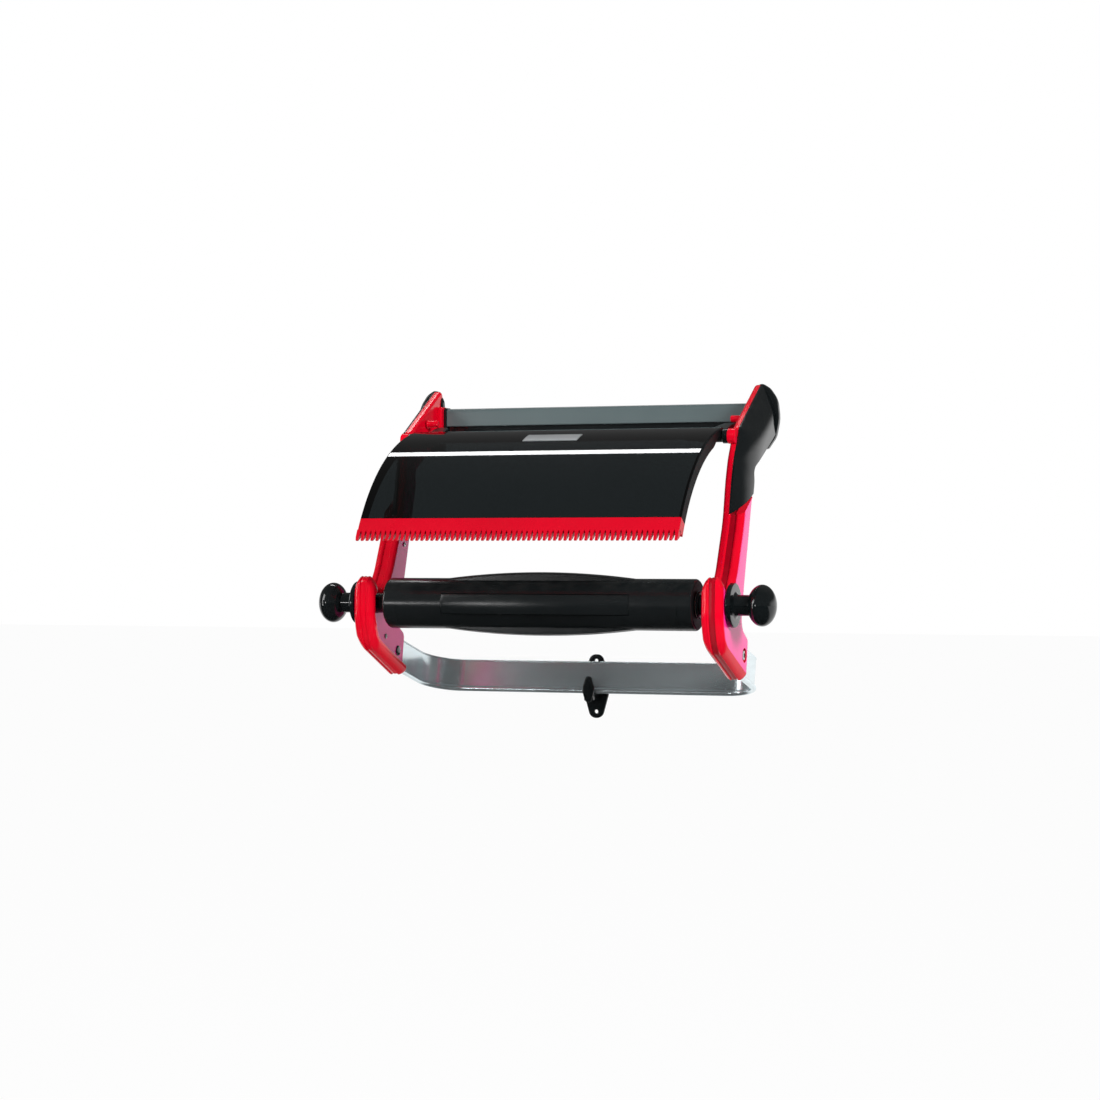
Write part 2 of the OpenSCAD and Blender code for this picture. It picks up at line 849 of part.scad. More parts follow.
module strap_bolts() {
    head_x = arm_out - bolt_bore_depth;
    color(silver) at_axis()
        for (s = [0, 1])
            mirror([s, 0, 0]) {
                bar(recess_x + 1, head_x + eps, bolt_d / 2, bolt_y, -bolt_drop);
                bar(head_x, head_x + bolt_head_t, bolt_head_d / 2, bolt_y, -bolt_drop);
            }
}

module strap_nuts() {
    x1 = recess_x + nut_bore_depth;
    color(silver) at_axis()
        for (s = [0, 1])
            mirror([s, 0, 0]) difference() {
                translate([x1 - nut_t, bolt_y, -bolt_drop])
                    rotate([0, 90, 0]) cylinder(d = nut_d, h = nut_t, $fn = 6);
                bar(x1 - nut_t - eps, x1 + eps, bolt_d / 2 + fit_clear, bolt_y, -bolt_drop);
            }
}

// Black caps over the nuts
module nut_caps() {
    cap_x = recess_x + nut_bore_depth - nut_t - fit_clear;
    color(black) at_axis()
        for (s = [0, 1])
            mirror([s, 0, 0])
                bar(cap_x - nut_cap_t, cap_x, nut_bore_d / 2 - fit_clear, bolt_y, -bolt_drop);
}

// Upright almond outline: width, height, half width of its ends, end and side radii
function almond(w, h, tip, end_r, side_r) = rounded([
    [tip, h / 2, end_r],
    [-tip, h / 2, end_r],
    [-w / 2, 0, side_r],
    [-tip, -h / 2, end_r],
    [tip, -h / 2, end_r],
    [w / 2, 0, side_r]
]);

// Almond-shaped wall plate with a shelf and an upturned lip for the strap
module wall_hook() {
    plate = almond(hook_w, hook_h, 8.5, 10, 44);
    lip = almond(lip_w, lip_h, 4, 5, 22);
    lip_z = shelf_top - shelf_t + lip_h / 2 - 2;
    shelf_w = lip_w * 0.7;
    color(black) at_axis() difference() {
        union() {
            translate([0, axis_out, hook_z])
                rotate([90, 0, 0]) linear_extrude(height = hook_t) polygon(plate);
            translate([0, axis_out - lip_out, lip_z])
                rotate([90, 0, 0]) linear_extrude(height = lip_t) polygon(lip);
            translate([-shelf_w / 2, axis_out - lip_out - lip_t / 2, shelf_top - shelf_t])
                cube([shelf_w, lip_out + lip_t / 2 - hook_t / 2, shelf_t]);
        }
        for (k = [-1, 1])
            translate([0, axis_out + eps, hook_z + k * hook_hole_gap / 2])
                rotate([90, 0, 0]) cylinder(d = hook_hole_d, h = hook_t + 2 * eps);
    }
}

wall_rail();
rail_cover();
rail_ear_screws();
on_left() arm_inner();  // left_arm_inner
on_left() arm_outer();  // left_arm_outer
on_left() top_cover();  // left_top_cover
on_left() end_plate();  // left_end_plate
on_left() arm_screws();  // left_arm_screws
arm_inner();  // right_arm_inner
arm_outer();  // right_arm_outer
top_cover();  // right_top_cover
end_plate();  // right_end_plate
arm_screws();  // right_arm_screws
hinge_rod();
hinge_washers();
stop_pegs();
hood_shell();
on_left() hood_bracket();  // left_hood_bracket
hood_bracket();  // right_hood_bracket
hood_rivets();
cutter_strip();
blank_plate();
spindle_axle();
axle_collars();
on_left() knob();  // left_knob
knob();  // right_knob
core_tube();
on_left() end_cap();  // left_end_cap
end_cap();  // right_end_cap
on_left() bush();  // left_bush
bush();  // right_bush
grip(0);  // top_grip
grip(90);  // front_grip
grip(180);  // bottom_grip
grip(270);  // back_grip
support_strap();
strap_bolts();
strap_nuts();
nut_caps();
wall_hook();
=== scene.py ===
"""Dresses the wall-hung paper roll holder: rail, arms, hood, spindle, strap and hook, in a pale studio."""

import logging
import math
from dataclasses import dataclass, replace
from enum import Enum
from functools import cache
from typing import Callable, Iterable, Optional, Sequence

import bmesh
import bpy
from bmesh.types import BMEdge, BMFace, BMVert
from bpy.types import Material, Node, NodeSocket, NodeTree
from mathutils import Matrix, Vector
from mathutils.geometry import intersect_point_line


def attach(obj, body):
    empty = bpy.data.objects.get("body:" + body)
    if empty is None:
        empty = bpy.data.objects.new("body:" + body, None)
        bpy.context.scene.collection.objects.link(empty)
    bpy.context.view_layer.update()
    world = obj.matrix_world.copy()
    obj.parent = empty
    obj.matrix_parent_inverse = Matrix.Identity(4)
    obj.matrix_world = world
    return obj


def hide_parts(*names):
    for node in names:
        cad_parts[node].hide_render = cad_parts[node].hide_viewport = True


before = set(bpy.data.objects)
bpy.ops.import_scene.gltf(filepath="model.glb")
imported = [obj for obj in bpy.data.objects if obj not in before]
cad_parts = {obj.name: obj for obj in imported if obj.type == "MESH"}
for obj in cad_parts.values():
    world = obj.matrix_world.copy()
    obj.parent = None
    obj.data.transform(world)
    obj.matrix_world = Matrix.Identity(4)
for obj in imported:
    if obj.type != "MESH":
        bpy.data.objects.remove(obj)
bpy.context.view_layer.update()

LOG = logging.getLogger("roll_holder")
MM = 0.001
SPINDLE_AXIS = Vector((0.0, -224.0, -252.0))
QUARTER = math.pi / 2.0
ARC_STEP = 9.0  # degrees between the points of a rounded corner
SAME_PLACE = 0.01  # millimetres within which two places count as one
SHARP = 0.7  # radians between two faces from which an edge gets rounded

Corner = tuple[float, float, float]
Point2 = tuple[float, float]
Point3 = tuple[float, float, float]
Colour = tuple[float, float, float]


class Side(Enum):
    """The two ends of the holder, by the sign of X."""

    LEFT = -1.0
    RIGHT = 1.0

    @property
    def word(self) -> str:
        """The side's name as it stands in the node names."""
        return self.name.lower()


class Surface(Enum):
    """The ways in which a finish is made."""

    MOULDED = "moulded"
    BRUSHED = "brushed"
    CLEAR = "clear"


def share(value: float, low: float, high: float) -> float:
    """How far a value lies from a low end towards a high one, kept between 0 and 1."""
    return min(1.0, max(0.0, (value - low) / (high - low)))


# Shader node groups and finishes


@dataclass(frozen=True)
class Wiring:
    """Adds nodes to a shader tree and wires them."""

    tree: NodeTree

    def feed(self, socket: NodeSocket, value: object) -> None:
        """Links an input to an output, or sets it to a constant."""
        if isinstance(value, NodeSocket):
            self.tree.links.new(value, socket)
        else:
            socket.default_value = value

    def add(self, kind: str, inputs: Optional[dict] = None, **settings: object) -> Node:
        """Adds a node.

        Args:
            kind: The node's type, without the prefix that all of them have.
            inputs: What feeds its inputs, by name or number.
            **settings: The node's own properties.

        Returns:
            The new node.
        """
        node = self.tree.nodes.new(f"ShaderNode{kind}")
        for label, value in settings.items():
            setattr(node, label, value)
        for key, value in (inputs or {}).items():
            self.feed(node.inputs[key], value)
        return node

    def math(self, operation: str, *values: object) -> NodeSocket:
        """Works out a value from others."""
        return self.add("Math", dict(enumerate(values)), operation=operation).outputs[0]

    def blend(self, first: object, second: object, factor: NodeSocket) -> NodeSocket:
        """Mixes two colours."""
        inputs = {"A": first, "B": second, "Factor": factor}
        return self.add("Mix", inputs, data_type="RGBA").outputs["Result"]

    def split(self, vector: NodeSocket, axis: str) -> NodeSocket:
        """Takes one axis out of a vector."""
        return self.add("SeparateXYZ", {"Vector": vector}).outputs[axis]

    def ramp(
        self, value: NodeSocket, ends: Point2, levels: Sequence = (0.0, 1.0), smooth: bool = False
    ) -> NodeSocket:
        """Maps a value from one span onto another.

        Args:
            value: The value.
            ends: Where the span starts and ends.
            levels: What it becomes at either end.
            smooth: Whether it eases in and out.

        Returns:
            The mapped value.
        """
        inputs = {"Value": value, "From Min": ends[0], "From Max": ends[1]}
        inputs |= {"To Min": levels[0], "To Max": levels[1]}
        kind = "SMOOTHSTEP" if smooth else "LINEAR"
        return self.add("MapRange", inputs, interpolation_type=kind).outputs["Result"]

    def noise(self, scale: object, detail: float, stretch: Point3 = (1.0, 1.0, 1.0)) -> NodeSocket:
        """Makes noise on stretched object coordinates."""
        place = self.add("TexCoord").outputs["Object"]
        vector = self.add("Mapping", {"Vector": place, "Scale": stretch}).outputs["Vector"]
        return self.add("TexNoise", {"Vector": vector, "Scale": scale, "Detail": detail}).outputs["Fac"]


class Effects:
    """The shader node groups that the finishes share, each built once."""

    @staticmethod
    def _start(name: str, control: str, value: float) -> tuple[Wiring, NodeSocket]:
        """Starts a node group with one input; gives its wiring and that input."""
        tree = bpy.data.node_groups.new(name, "ShaderNodeTree")
        socket = tree.interface.new_socket(control, in_out="INPUT", socket_type="NodeSocketFloat")
        socket.default_value = value
        return Wiring(tree), tree.nodes.new("NodeGroupInput").outputs[control]

    @staticmethod
    def _close(wiring: Wiring, results: dict[str, NodeSocket]) -> NodeTree:
        """Gives a node group its outputs and returns the group."""
        for label in results:
            wiring.tree.interface.new_socket(label, in_out="OUTPUT", socket_type="NodeSocketFloat")
        end = wiring.tree.nodes.new("NodeGroupOutput")
        for label, value in results.items():
            wiring.feed(end.inputs[label], value)
        return wiring.tree

    @staticmethod
    @cache
    def mould_grain() -> NodeTree:
        """Orange peel of moulded plastic: a fine height, a slow tone and a smudged gloss."""
        wiring, scale = Effects._start("MouldGrain", "Scale", 260.0)
        smudge = wiring.noise(24.0, 5.0, (1.0, 0.6, 1.6))
        return Effects._close(wiring, {
            "Height": wiring.noise(scale, 2.0),
            "Tone": wiring.ramp(wiring.noise(9.0, 3.0), (0.3, 0.7)),
            "Smudge": wiring.ramp(smudge, (0.35, 0.75)),
        })

    @staticmethod
    @cache
    def scuffs() -> NodeTree:
        """Short hairline scuffs, as a mask."""
        wiring, amount = Effects._start("Scuffs", "Amount", 0.5)
        lines = wiring.ramp(wiring.noise(1.0, 1.0, (30.0, 30.0, 900.0)), (0.66, 0.74))
        patches = wiring.ramp(wiring.noise(18.0, 2.0), (0.5, 0.66))
        mask = wiring.math("MULTIPLY", wiring.math("MULTIPLY", lines, patches), amount)
        return Effects._close(wiring, {"Mask": mask})

    @staticmethod
    @cache
    def dust() -> NodeTree:
        """A thin veil of dust on upward faces, as a mask."""
        wiring, amount = Effects._start("Dust", "Amount", 0.05)
        upward = wiring.ramp(wiring.split(wiring.add("NewGeometry").outputs["Normal"], "Z"), (0.35, 1.0))
        flecks = wiring.ramp(wiring.noise(70.0, 6.0), (0.4, 0.8))
        mask = wiring.math("MULTIPLY", wiring.math("MULTIPLY", upward, flecks), amount)
        return Effects._close(wiring, {"Mask": mask})

    @staticmethod
    @cache
    def brush_lines() -> NodeTree:
        """Fine lines of brushed metal along X: a height, a tone and a gloss."""
        wiring, scale = Effects._start("BrushLines", "Scale", 1.0)
        broad = wiring.noise(1.0, 2.0, (3.0, 10.0, 160.0))
        return Effects._close(wiring, {
            "Height": wiring.noise(scale, 3.0, (12.0, 60.0, 1400.0)),
            "Tone": wiring.ramp(broad, (0.3, 0.7)),
            "Gloss": wiring.ramp(wiring.noise(14.0, 4.0), (0.3, 0.75)),
        })


@dataclass(frozen=True)
class Finish:
    """One finish of the holder and the material that shows it."""

    name: str
    slot: str
    colour: Colour
    shade: Colour
    surface: Surface = Surface.MOULDED
    roughness: float = 0.2
    rough_spread: float = 0.08
    grain_scale: float = 260.0
    grain_depth: float = 0.00002
    metallic: float = 0.0
    ior: float = 1.5
    scuff: float = 0.35
    dust: float = 0.04
    # Colour of a painted reflection on the lower faces that look along the spindle, if any.
    glance: Optional[Colour] = None
    mirror: float = 0.5

    DUST_COLOUR = (0.45, 0.43, 0.4, 1.0)
    BUMP_STRENGTH = 0.6
    SCUFF_ROUGHNESS = 0.25
    REFLECTION_HEIGHTS = (-0.03, -0.11)
    REFLECTION_FACING = (0.93, 0.99)

    def material(self) -> Material:
        """The finish's material, built on first use.

        Returns:
            A node material with grain, gloss variation, scuffs, dust and, where set, a painted reflection.
        """
        found = bpy.data.materials.get(self.name)
        if found:
            return found
        made = bpy.data.materials.new(self.name)
        made.use_nodes = True
        made.diffuse_color = (*self.colour, 1.0)
        wiring = Wiring(made.node_tree)
        if self.surface is Surface.BRUSHED:
            grain = wiring.add("Group", node_tree=Effects.brush_lines()).outputs
            gloss = grain["Gloss"]
        else:
            grain = wiring.add("Group", {"Scale": self.grain_scale}, node_tree=Effects.mould_grain()).outputs
            gloss = grain["Smudge"]
        bump = {"Strength": self.BUMP_STRENGTH, "Distance": self.grain_depth, "Height": grain["Height"]}
        shader = made.node_tree.nodes["Principled BSDF"]
        feeds = {
            "Base Color": self._base_colour(wiring, grain["Tone"]),
            "Roughness": self._rough(wiring, gloss),
            "Normal": wiring.add("Bump", bump).outputs["Normal"],
            "Metallic": self.metallic,
            "IOR": self.ior,
            "Specular IOR Level": self.mirror,
            "Transmission Weight": 1.0 if self.surface is Surface.CLEAR else 0.0,
        }
        for label, value in feeds.items():
            wiring.feed(shader.inputs[label], value)
        return made

    def _base_colour(self, wiring: Wiring, tone: NodeSocket) -> NodeSocket:
        """Blends the two colours by the tone, under the dust, and adds any painted reflection."""
        plain = wiring.blend((*self.colour, 1.0), (*self.shade, 1.0), tone)
        dust = wiring.add("Group", {"Amount": self.dust}, node_tree=Effects.dust()).outputs["Mask"]
        dusty = wiring.blend(plain, self.DUST_COLOUR, dust)
        return self._paint_reflection(wiring, dusty) if self.glance else dusty

    def _paint_reflection(self, wiring: Wiring, colour: NodeSocket) -> NodeSocket:
        """Paints a reflection into a colour: turns it paler and pinker on the lower faces that look along the
        spindle.
        """
        place = wiring.add("TexCoord").outputs
        across = wiring.math("ABSOLUTE", wiring.split(place["Normal"], "X"))
        low = wiring.ramp(wiring.split(place["Object"], "Z"), self.REFLECTION_HEIGHTS)
        pale = wiring.ramp(across, self.REFLECTION_FACING, (0.0, low))
        return wiring.blend(colour, (*self.glance, 1.0), pale)

    def _rough(self, wiring: Wiring, gloss: NodeSocket) -> NodeSocket:
        """Works out the roughness from the smudges and the scuffs."""
        smudged = wiring.ramp(gloss, (0.0, 1.0), (self.roughness, self.roughness + self.rough_spread))
        scuff = wiring.add("Group", {"Amount": self.scuff}, node_tree=Effects.scuffs()).outputs["Mask"]
        return wiring.math("MULTIPLY_ADD", scuff, self.SCUFF_ROUGHNESS, smudged)


# Painted reflection: the shell red turns pink on the lower faces that look along the spindle.
RED_SHELL = Finish(
    "shell_red", "red_shell", (0.66, 0.001, 0.016), (0.6, 0.001, 0.013), roughness=0.12, ior=1.52,
    glance=(0.95, 0.03, 0.3), mirror=0.27,
)
RED_RIM = replace(RED_SHELL, name="rim_red", glance=None)
# Painted shade: a darker red for the groove on the right arm only, standing in for the shade that lies there.
RED_PAINTED_SHADE = Finish(
    "groove_painted_shade", "red_shell", (0.32, 0.0008, 0.009), (0.28, 0.0008, 0.008), roughness=0.3, mirror=0.27
)
RED_CUTTER = Finish(
    "cutter_red", "red_cutter", (0.52, 0.0012, 0.013), (0.46, 0.001, 0.011),
    roughness=0.26, mirror=0.3, dust=0.01,
)
BLACK_GLOSS = Finish(
    "gloss_black", "black_gloss", (0.004, 0.0055, 0.006), (0.006, 0.0075, 0.008),
    roughness=0.08, rough_spread=0.05,
)
BLACK_SATIN = Finish(
    "satin_black", "black_satin", (0.006, 0.008, 0.0085), (0.009, 0.011, 0.0115),
    roughness=0.3, grain_scale=900.0,
)
RAIL_GREY = Finish(
    "rail_grey", "black_satin", (0.084, 0.112, 0.115), (0.074, 0.1, 0.103),
    roughness=0.3, grain_scale=900.0, dust=0.02,
)
BLACK_BODY = Finish(
    "body_black", "black_body", (0.0045, 0.006, 0.0065), (0.0065, 0.008, 0.0085),
    roughness=0.2, grain_scale=700.0,
)
SMOKE_HOOD = Finish(
    "smoked_clear", "smoke_hood", (0.0095, 0.0125, 0.0135), (0.0085, 0.0115, 0.0125), Surface.CLEAR,
    roughness=0.0, rough_spread=0.01, grain_depth=0.000001, ior=1.49, scuff=0.05, dust=0.0,
)
BLACK_EDGE = Finish(
    "edge_black", "smoke_hood", (0.004, 0.005, 0.0055), (0.006, 0.007, 0.0075),
    roughness=0.45, mirror=0.06, dust=0.0,
)
PLATED_STEEL = Finish(
    "zinc_plate", "plated_steel", (0.58, 0.59, 0.6), (0.47, 0.48, 0.5), Surface.BRUSHED,
    roughness=0.24, rough_spread=0.14, metallic=1.0, grain_depth=0.00003,
)
STRAP_METAL = Finish(
    "polished_strap", "strap_metal", (0.81, 0.91, 0.94), (0.74, 0.83, 0.86), Surface.BRUSHED,
    roughness=0.2, rough_spread=0.04, metallic=0.85, grain_depth=0.000005, scuff=0.15, dust=0.02,
)
PLATE_METAL = Finish(
    "brushed_plate", "plate_metal", (0.52, 0.54, 0.55), (0.4, 0.42, 0.43), Surface.BRUSHED,
    roughness=0.3, rough_spread=0.12, metallic=0.8, grain_depth=0.00003, dust=0.0,
)
BUSH_NYLON = Finish(
    "natural_nylon", "bush_nylon", (0.7, 0.69, 0.65), (0.62, 0.61, 0.57),
    roughness=0.42, grain_scale=500.0, dust=0.08,
)


def dress(node: str, finish: Finish) -> None:
    """Gives a node of the model its finish."""
    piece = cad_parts[node]
    piece.data.materials.clear()
    piece.data.materials.append(finish.material())
    LOG.info("%s: dressed as %s", node, finish.name)


# Mesh drafting


class Draft:
    """A mesh in the making, in millimetres about the spindle axis."""

    def __init__(self) -> None:
        """Starts with an empty bmesh."""
        self.bm = bmesh.new()

    @property
    def whole(self) -> list:
        """Every face, edge and vertex."""
        return self.bm.faces[:] + self.bm.edges[:] + self.bm.verts[:]

    def outline(self, corners: Sequence[Corner], x: float) -> list[BMFace]:
        """Draws a flat face across X and rounds its corners.

        Args:
            corners: Y, Z and corner radius, anticlockwise seen from +X.
            x: Place of the face along X.

        Returns:
            The new face, in a list.
        """
        before = set(self.bm.faces)
        verts = [self.bm.verts.new((x, y, z)) for y, z, _ in corners]
        self.bm.faces.new(verts)
        places = [Vector(corner[:2]) for corner in corners]
        for i, vert in enumerate(verts):
            radius = corners[i][2]
            if radius <= 0.0:
                continue
            back = (places[i - 1] - places[i]).normalized()
            ahead = (places[(i + 1) % len(places)] - places[i]).normalized()
            half = back.angle(ahead) / 2.0
            steps = max(2, math.ceil(math.degrees(math.pi - 2.0 * half) / ARC_STEP))
            bmesh.ops.bevel(
                self.bm, geom=[vert], offset=radius / math.tan(half), offset_type="ABSOLUTE", segments=steps,
                profile=0.5, affect="VERTICES", material=-1, clamp_overlap=False,
            )
        return [face for face in self.bm.faces if face not in before]

    def pierced(self, faces: Sequence[BMFace], holes: Sequence[Corner], x: float) -> list[BMFace]:
        """Fills a flat outline again with round holes in it.

        Args:
            faces: The outline's face.
            holes: Y, Z and radius of each hole.
            x: Place of the face along X.

        Returns:
            The faces around the holes.
        """
        edges = [edge for face in faces for edge in face.edges]
        bmesh.ops.delete(self.bm, geom=list(faces), context="FACES_ONLY")
        for y, z, radius in holes:
            edges += self.circle(radius, Vector((x, y, z)), "Y", 40)
        filled = bmesh.ops.triangle_fill(self.bm, edges=edges, use_beauty=True, normal=(1.0, 0.0, 0.0))
        return [item for item in filled["geom"] if isinstance(item, BMFace)]

    def circle(self, radius: float, place: Vector, axis: str, segments: int) -> list[BMEdge]:
        """Draws a ring of edges, turned a quarter about an axis, and returns them."""
        turn = Matrix.Translation(place) @ Matrix.Rotation(QUARTER, 4, axis)
        ring = bmesh.ops.create_circle(self.bm, radius=radius, segments=segments, matrix=turn)
        return list({edge for vert in ring["verts"] for edge in vert.link_edges})

    def block(self, size: Point3) -> None:
        """Draws a block about the origin."""
        verts = bmesh.ops.create_cube(self.bm, size=1.0)["verts"]
        bmesh.ops.scale(self.bm, vec=size, verts=verts)

    def inset(self, faces: Sequence[BMFace], width: float) -> list[BMFace]:
        """Draws a ring inside the border of flat faces and returns the ring."""
        drawn = bmesh.ops.inset_region(
            self.bm, faces=list(faces), thickness=width, use_boundary=True, use_even_offset=True
        )
        return drawn["faces"]

    def keep_side(self, place: Vector, facing: Vector) -> list[BMFace]:
        """Cuts the whole draft with a plane and keeps the part behind it."""
        bmesh.ops.bisect_plane(self.bm, geom=self.whole, plane_co=place, plane_no=facing, clear_outer=True)
        return self.bm.faces[:]

    def score(self, place: Point3, facing: Point3) -> None:
        """Adds the edges along which a plane meets the draft."""
        bmesh.ops.bisect_plane(self.bm, geom=self.whole, plane_co=place, plane_no=facing)

    def thicken(self, faces: Sequence[BMFace], depth: float) -> list[BMVert]:
        """Extrudes flat faces along X and returns the moved vertices."""
        grown = bmesh.ops.extrude_face_region(self.bm, geom=list(faces))
        verts = [item for item in grown["geom"] if isinstance(item, BMVert)]
        bmesh.ops.translate(self.bm, vec=(depth, 0.0, 0.0), verts=verts)
        return verts

    def rim(self, x: float, keep: Optional[Callable[[Vector], bool]] = None) -> list[BMEdge]:
        """Finds the sharp edges at a place along X.

        Args:
            x: Place of the edges.
            keep: Tells from an edge's middle whether it counts.

        Returns:
            The edges.
        """
        found = []
        for edge in self.bm.edges:
            if any(abs(vert.co.x - x) > SAME_PLACE for vert in edge.verts) or len(edge.link_faces) != 2:
                continue
            middle = (edge.verts[0].co + edge.verts[1].co) / 2.0
            if edge.calc_face_angle() > SHARP and (keep is None or keep(middle)):
                found.append(edge)
        return found

    def lengthways(self) -> list[BMEdge]:
        """Finds the edges of a block that run along Y."""
        return [edge for edge in self.bm.edges if abs(edge.verts[0].co.y - edge.verts[1].co.y) > 1.0]

    def soften(self, edges: Iterable[BMEdge], width: float, segments: int = 3) -> None:
        """Rounds edges to a radius."""
        bmesh.ops.bevel(
            self.bm, geom=list(edges), offset=width, offset_type="OFFSET", segments=segments, profile=0.5,
            affect="EDGES", material=-1, clamp_overlap=False, loop_slide=False,
        )

    def slab(
        self, corners: Sequence[Corner], x0: float, x1: float, near: float = 0.0, far: float = 0.0
    ) -> None:
        """Draws a plate across X with rounded edges.

        Args:
            corners: Y, Z and corner radius of its outline.
            x0: Where it starts.
            x1: Where it ends.
            near: Rounding of the edge at x0.
            far: Rounding of the edge at x1.
        """
        part = Draft()
        part.thicken(part.outline(corners, x0), x1 - x0)
        part.outwards()
        for x, width in ((x0, near), (x1, far)):
            if width:
                part.soften(part.rim(x), width, 5 if width > 2.0 else 3)
        self.take(part)

    def turned(self, profile: Sequence[Point2], y: float = 0.0, z: float = 0.0, steps: int = 96) -> None:
        """Turns a profile about an axis along X.

        Args:
            profile: Places along X with their radii, in order.
            y: Place of the axis.
            z: Place of the axis.
            steps: Number of segments.
        """
        part = Draft()
        verts = [part.bm.verts.new((x, y, z + radius)) for x, radius in profile]
        edges = [part.bm.edges.new(pair) for pair in zip(verts, verts[1:])]
        bmesh.ops.spin(
            part.bm, geom=verts + edges, cent=(0.0, y, z), axis=(1.0, 0.0, 0.0), angle=2.0 * math.pi,
            steps=steps, use_merge=True, use_duplicate=False,
        )
        bmesh.ops.remove_doubles(part.bm, verts=part.bm.verts, dist=0.001)
        part.outwards()
        self.take(part)

    def swept(self, section: Sequence[BMFace], centre: Point2, angle: float, steps: int) -> None:
        """Spins a face that lies across the hood about an axis along X."""
        geom = [item for face in section for item in (*face.verts, *face.edges, face)]
        bmesh.ops.spin(
            self.bm, geom=list(dict.fromkeys(geom)), cent=(0.0, *centre), axis=(1.0, 0.0, 0.0), angle=angle,
            steps=steps, use_merge=False, use_duplicate=False,
        )
        self.outwards()

    def outwards(self) -> None:
        """Turns every face to the outside."""
        bmesh.ops.recalc_face_normals(self.bm, faces=self.bm.faces)

    def turn(self, angle: float, axis: str) -> None:
        """Turns the whole draft about an axis through the origin."""
        bmesh.ops.rotate(self.bm, cent=Vector(), matrix=Matrix.Rotation(angle, 3, axis), verts=self.bm.verts)

    def shift(self, move: Sequence[float]) -> None:
        """Moves the whole draft."""
        bmesh.ops.translate(self.bm, vec=move, verts=self.bm.verts)

    def lean(self, low: float, high: float, out: float) -> None:
        """Leans the draft outwards along X: not at all at a low height, fully at a high one."""
        bands = 8
        for step in range(bands + 1):
            self.score((0.0, 0.0, low + (high - low) * step / bands), (0.0, 0.0, 1.0))
        for vert in self.bm.verts:
            part = share(vert.co.z, low, high)
            vert.co.x += out * part * part * (3.0 - 2.0 * part)

    def paint(self, index: int, chosen: Optional[Callable[[BMFace], bool]] = None) -> None:
        """Marks all faces, or the chosen ones, for one of the piece's further finishes."""
        for face in self.bm.faces:
            if chosen is None or chosen(face):
                face.material_index = index

    def take(self, other: "Draft") -> None:
        """Adds another draft to this one."""
        mesh = bpy.data.meshes.new("draft")
        other.bm.to_mesh(mesh)
        other.bm.free()
        self.bm.from_mesh(mesh)
        bpy.data.meshes.remove(mesh)

    def mirrored(self) -> None:
        """Turns the draft into its mirror image across X."""
        bmesh.ops.scale(self.bm, vec=(-1.0, 1.0, 1.0), verts=self.bm.verts)
        bmesh.ops.reverse_faces(self.bm, faces=self.bm.faces)

    def both_ends(self) -> None:
        """Adds the draft's mirror image across X."""
        copy = bmesh.ops.duplicate(self.bm, geom=self.whole)["geom"]
        verts = [item for item in copy if isinstance(item, BMVert)]
        bmesh.ops.scale(self.bm, vec=(-1.0, 1.0, 1.0), verts=verts)
        bmesh.ops.reverse_faces(self.bm, faces=[item for item in copy if isinstance(item, BMFace)])

    def publish(
        self, name: str, finish: Finish, body: str, node: str, side: Side = Side.RIGHT,
        flat_caps: bool = True, crease: float = 40.0, others: Sequence[Finish] = (),
    ) -> None:
        """Makes the draft a piece of the holder.

        Args:
            name: The piece's name.
            finish: Its finish.
            body: The body that it rides on.
            node: The node that it stands for.
            side: The end it belongs to; the left one is mirrored.
            flat_caps: Whether large faces keep their own normals.
            crease: Angle in degrees from which an edge shows sharp.
            others: Finishes of the faces marked for the second material and on.
        """
        if side is Side.LEFT:
            self.mirrored()
        self.shift(SPINDLE_AXIS)
        bmesh.ops.scale(self.bm, vec=(MM, MM, MM), verts=self.bm.verts)
        for face in self.bm.faces:
            face.smooth = True
        for edge in self.bm.edges:
            edge.smooth = len(edge.link_faces) == 2 and edge.calc_face_angle(0.0) < math.radians(crease)
        mesh = bpy.data.meshes.new(name)
        self.bm.to_mesh(mesh)
        self.bm.free()
        for used in (finish, *others):
            mesh.materials.append(used.material())
        piece = bpy.data.objects.new(name, mesh)
        bpy.context.scene.collection.objects.link(piece)
        if flat_caps:
            normals = piece.modifiers.new("cap_normals", "WEIGHTED_NORMAL")
            normals.keep_sharp = True
        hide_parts(node)
        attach(piece, body)
        LOG.info("%s: %d faces on %s", name, len(mesh.polygons), body)


def arc(centre: Point2, radii: Point2, first: int, last: int, step: int) -> list[Point2]:
    """Points of a profile along an arc.

    Args:
        centre: Place along X and radius of the arc's centre.
        radii: The arc's reach along X and outwards.
        first: Angle of the first point in degrees, from straight out.
        last: Angle of the last point.
        step: Angle between points.

    Returns:
        Places along X with their radii.
    """
    turns = [math.radians(angle) for angle in range(first, last + 1, step)]
    return [(centre[0] + radii[0] * math.sin(t), centre[1] + radii[1] * math.cos(t)) for t in turns]


def pan_head(x: float, radius: float, height: float) -> list[Point2]:
    """Profile of a round screw head that stands off a face towards the middle.

    Args:
        x: Place of the face along X.
        radius: Radius of the head.
        height: Height of the head.

    Returns:
        Places along X with their radii, with a drive recess in the middle.
    """
    dome = arc((x, 0.45 * radius), (-height, 0.55 * radius), 0, 90, 15)
    recess = [(x - 0.3 * height, 0.3 * radius), (x - 0.25 * height, 0.0)]
    return [(x + 0.5, 0.0), (x + 0.5, radius), *dome, *recess]


# Sub-assemblies


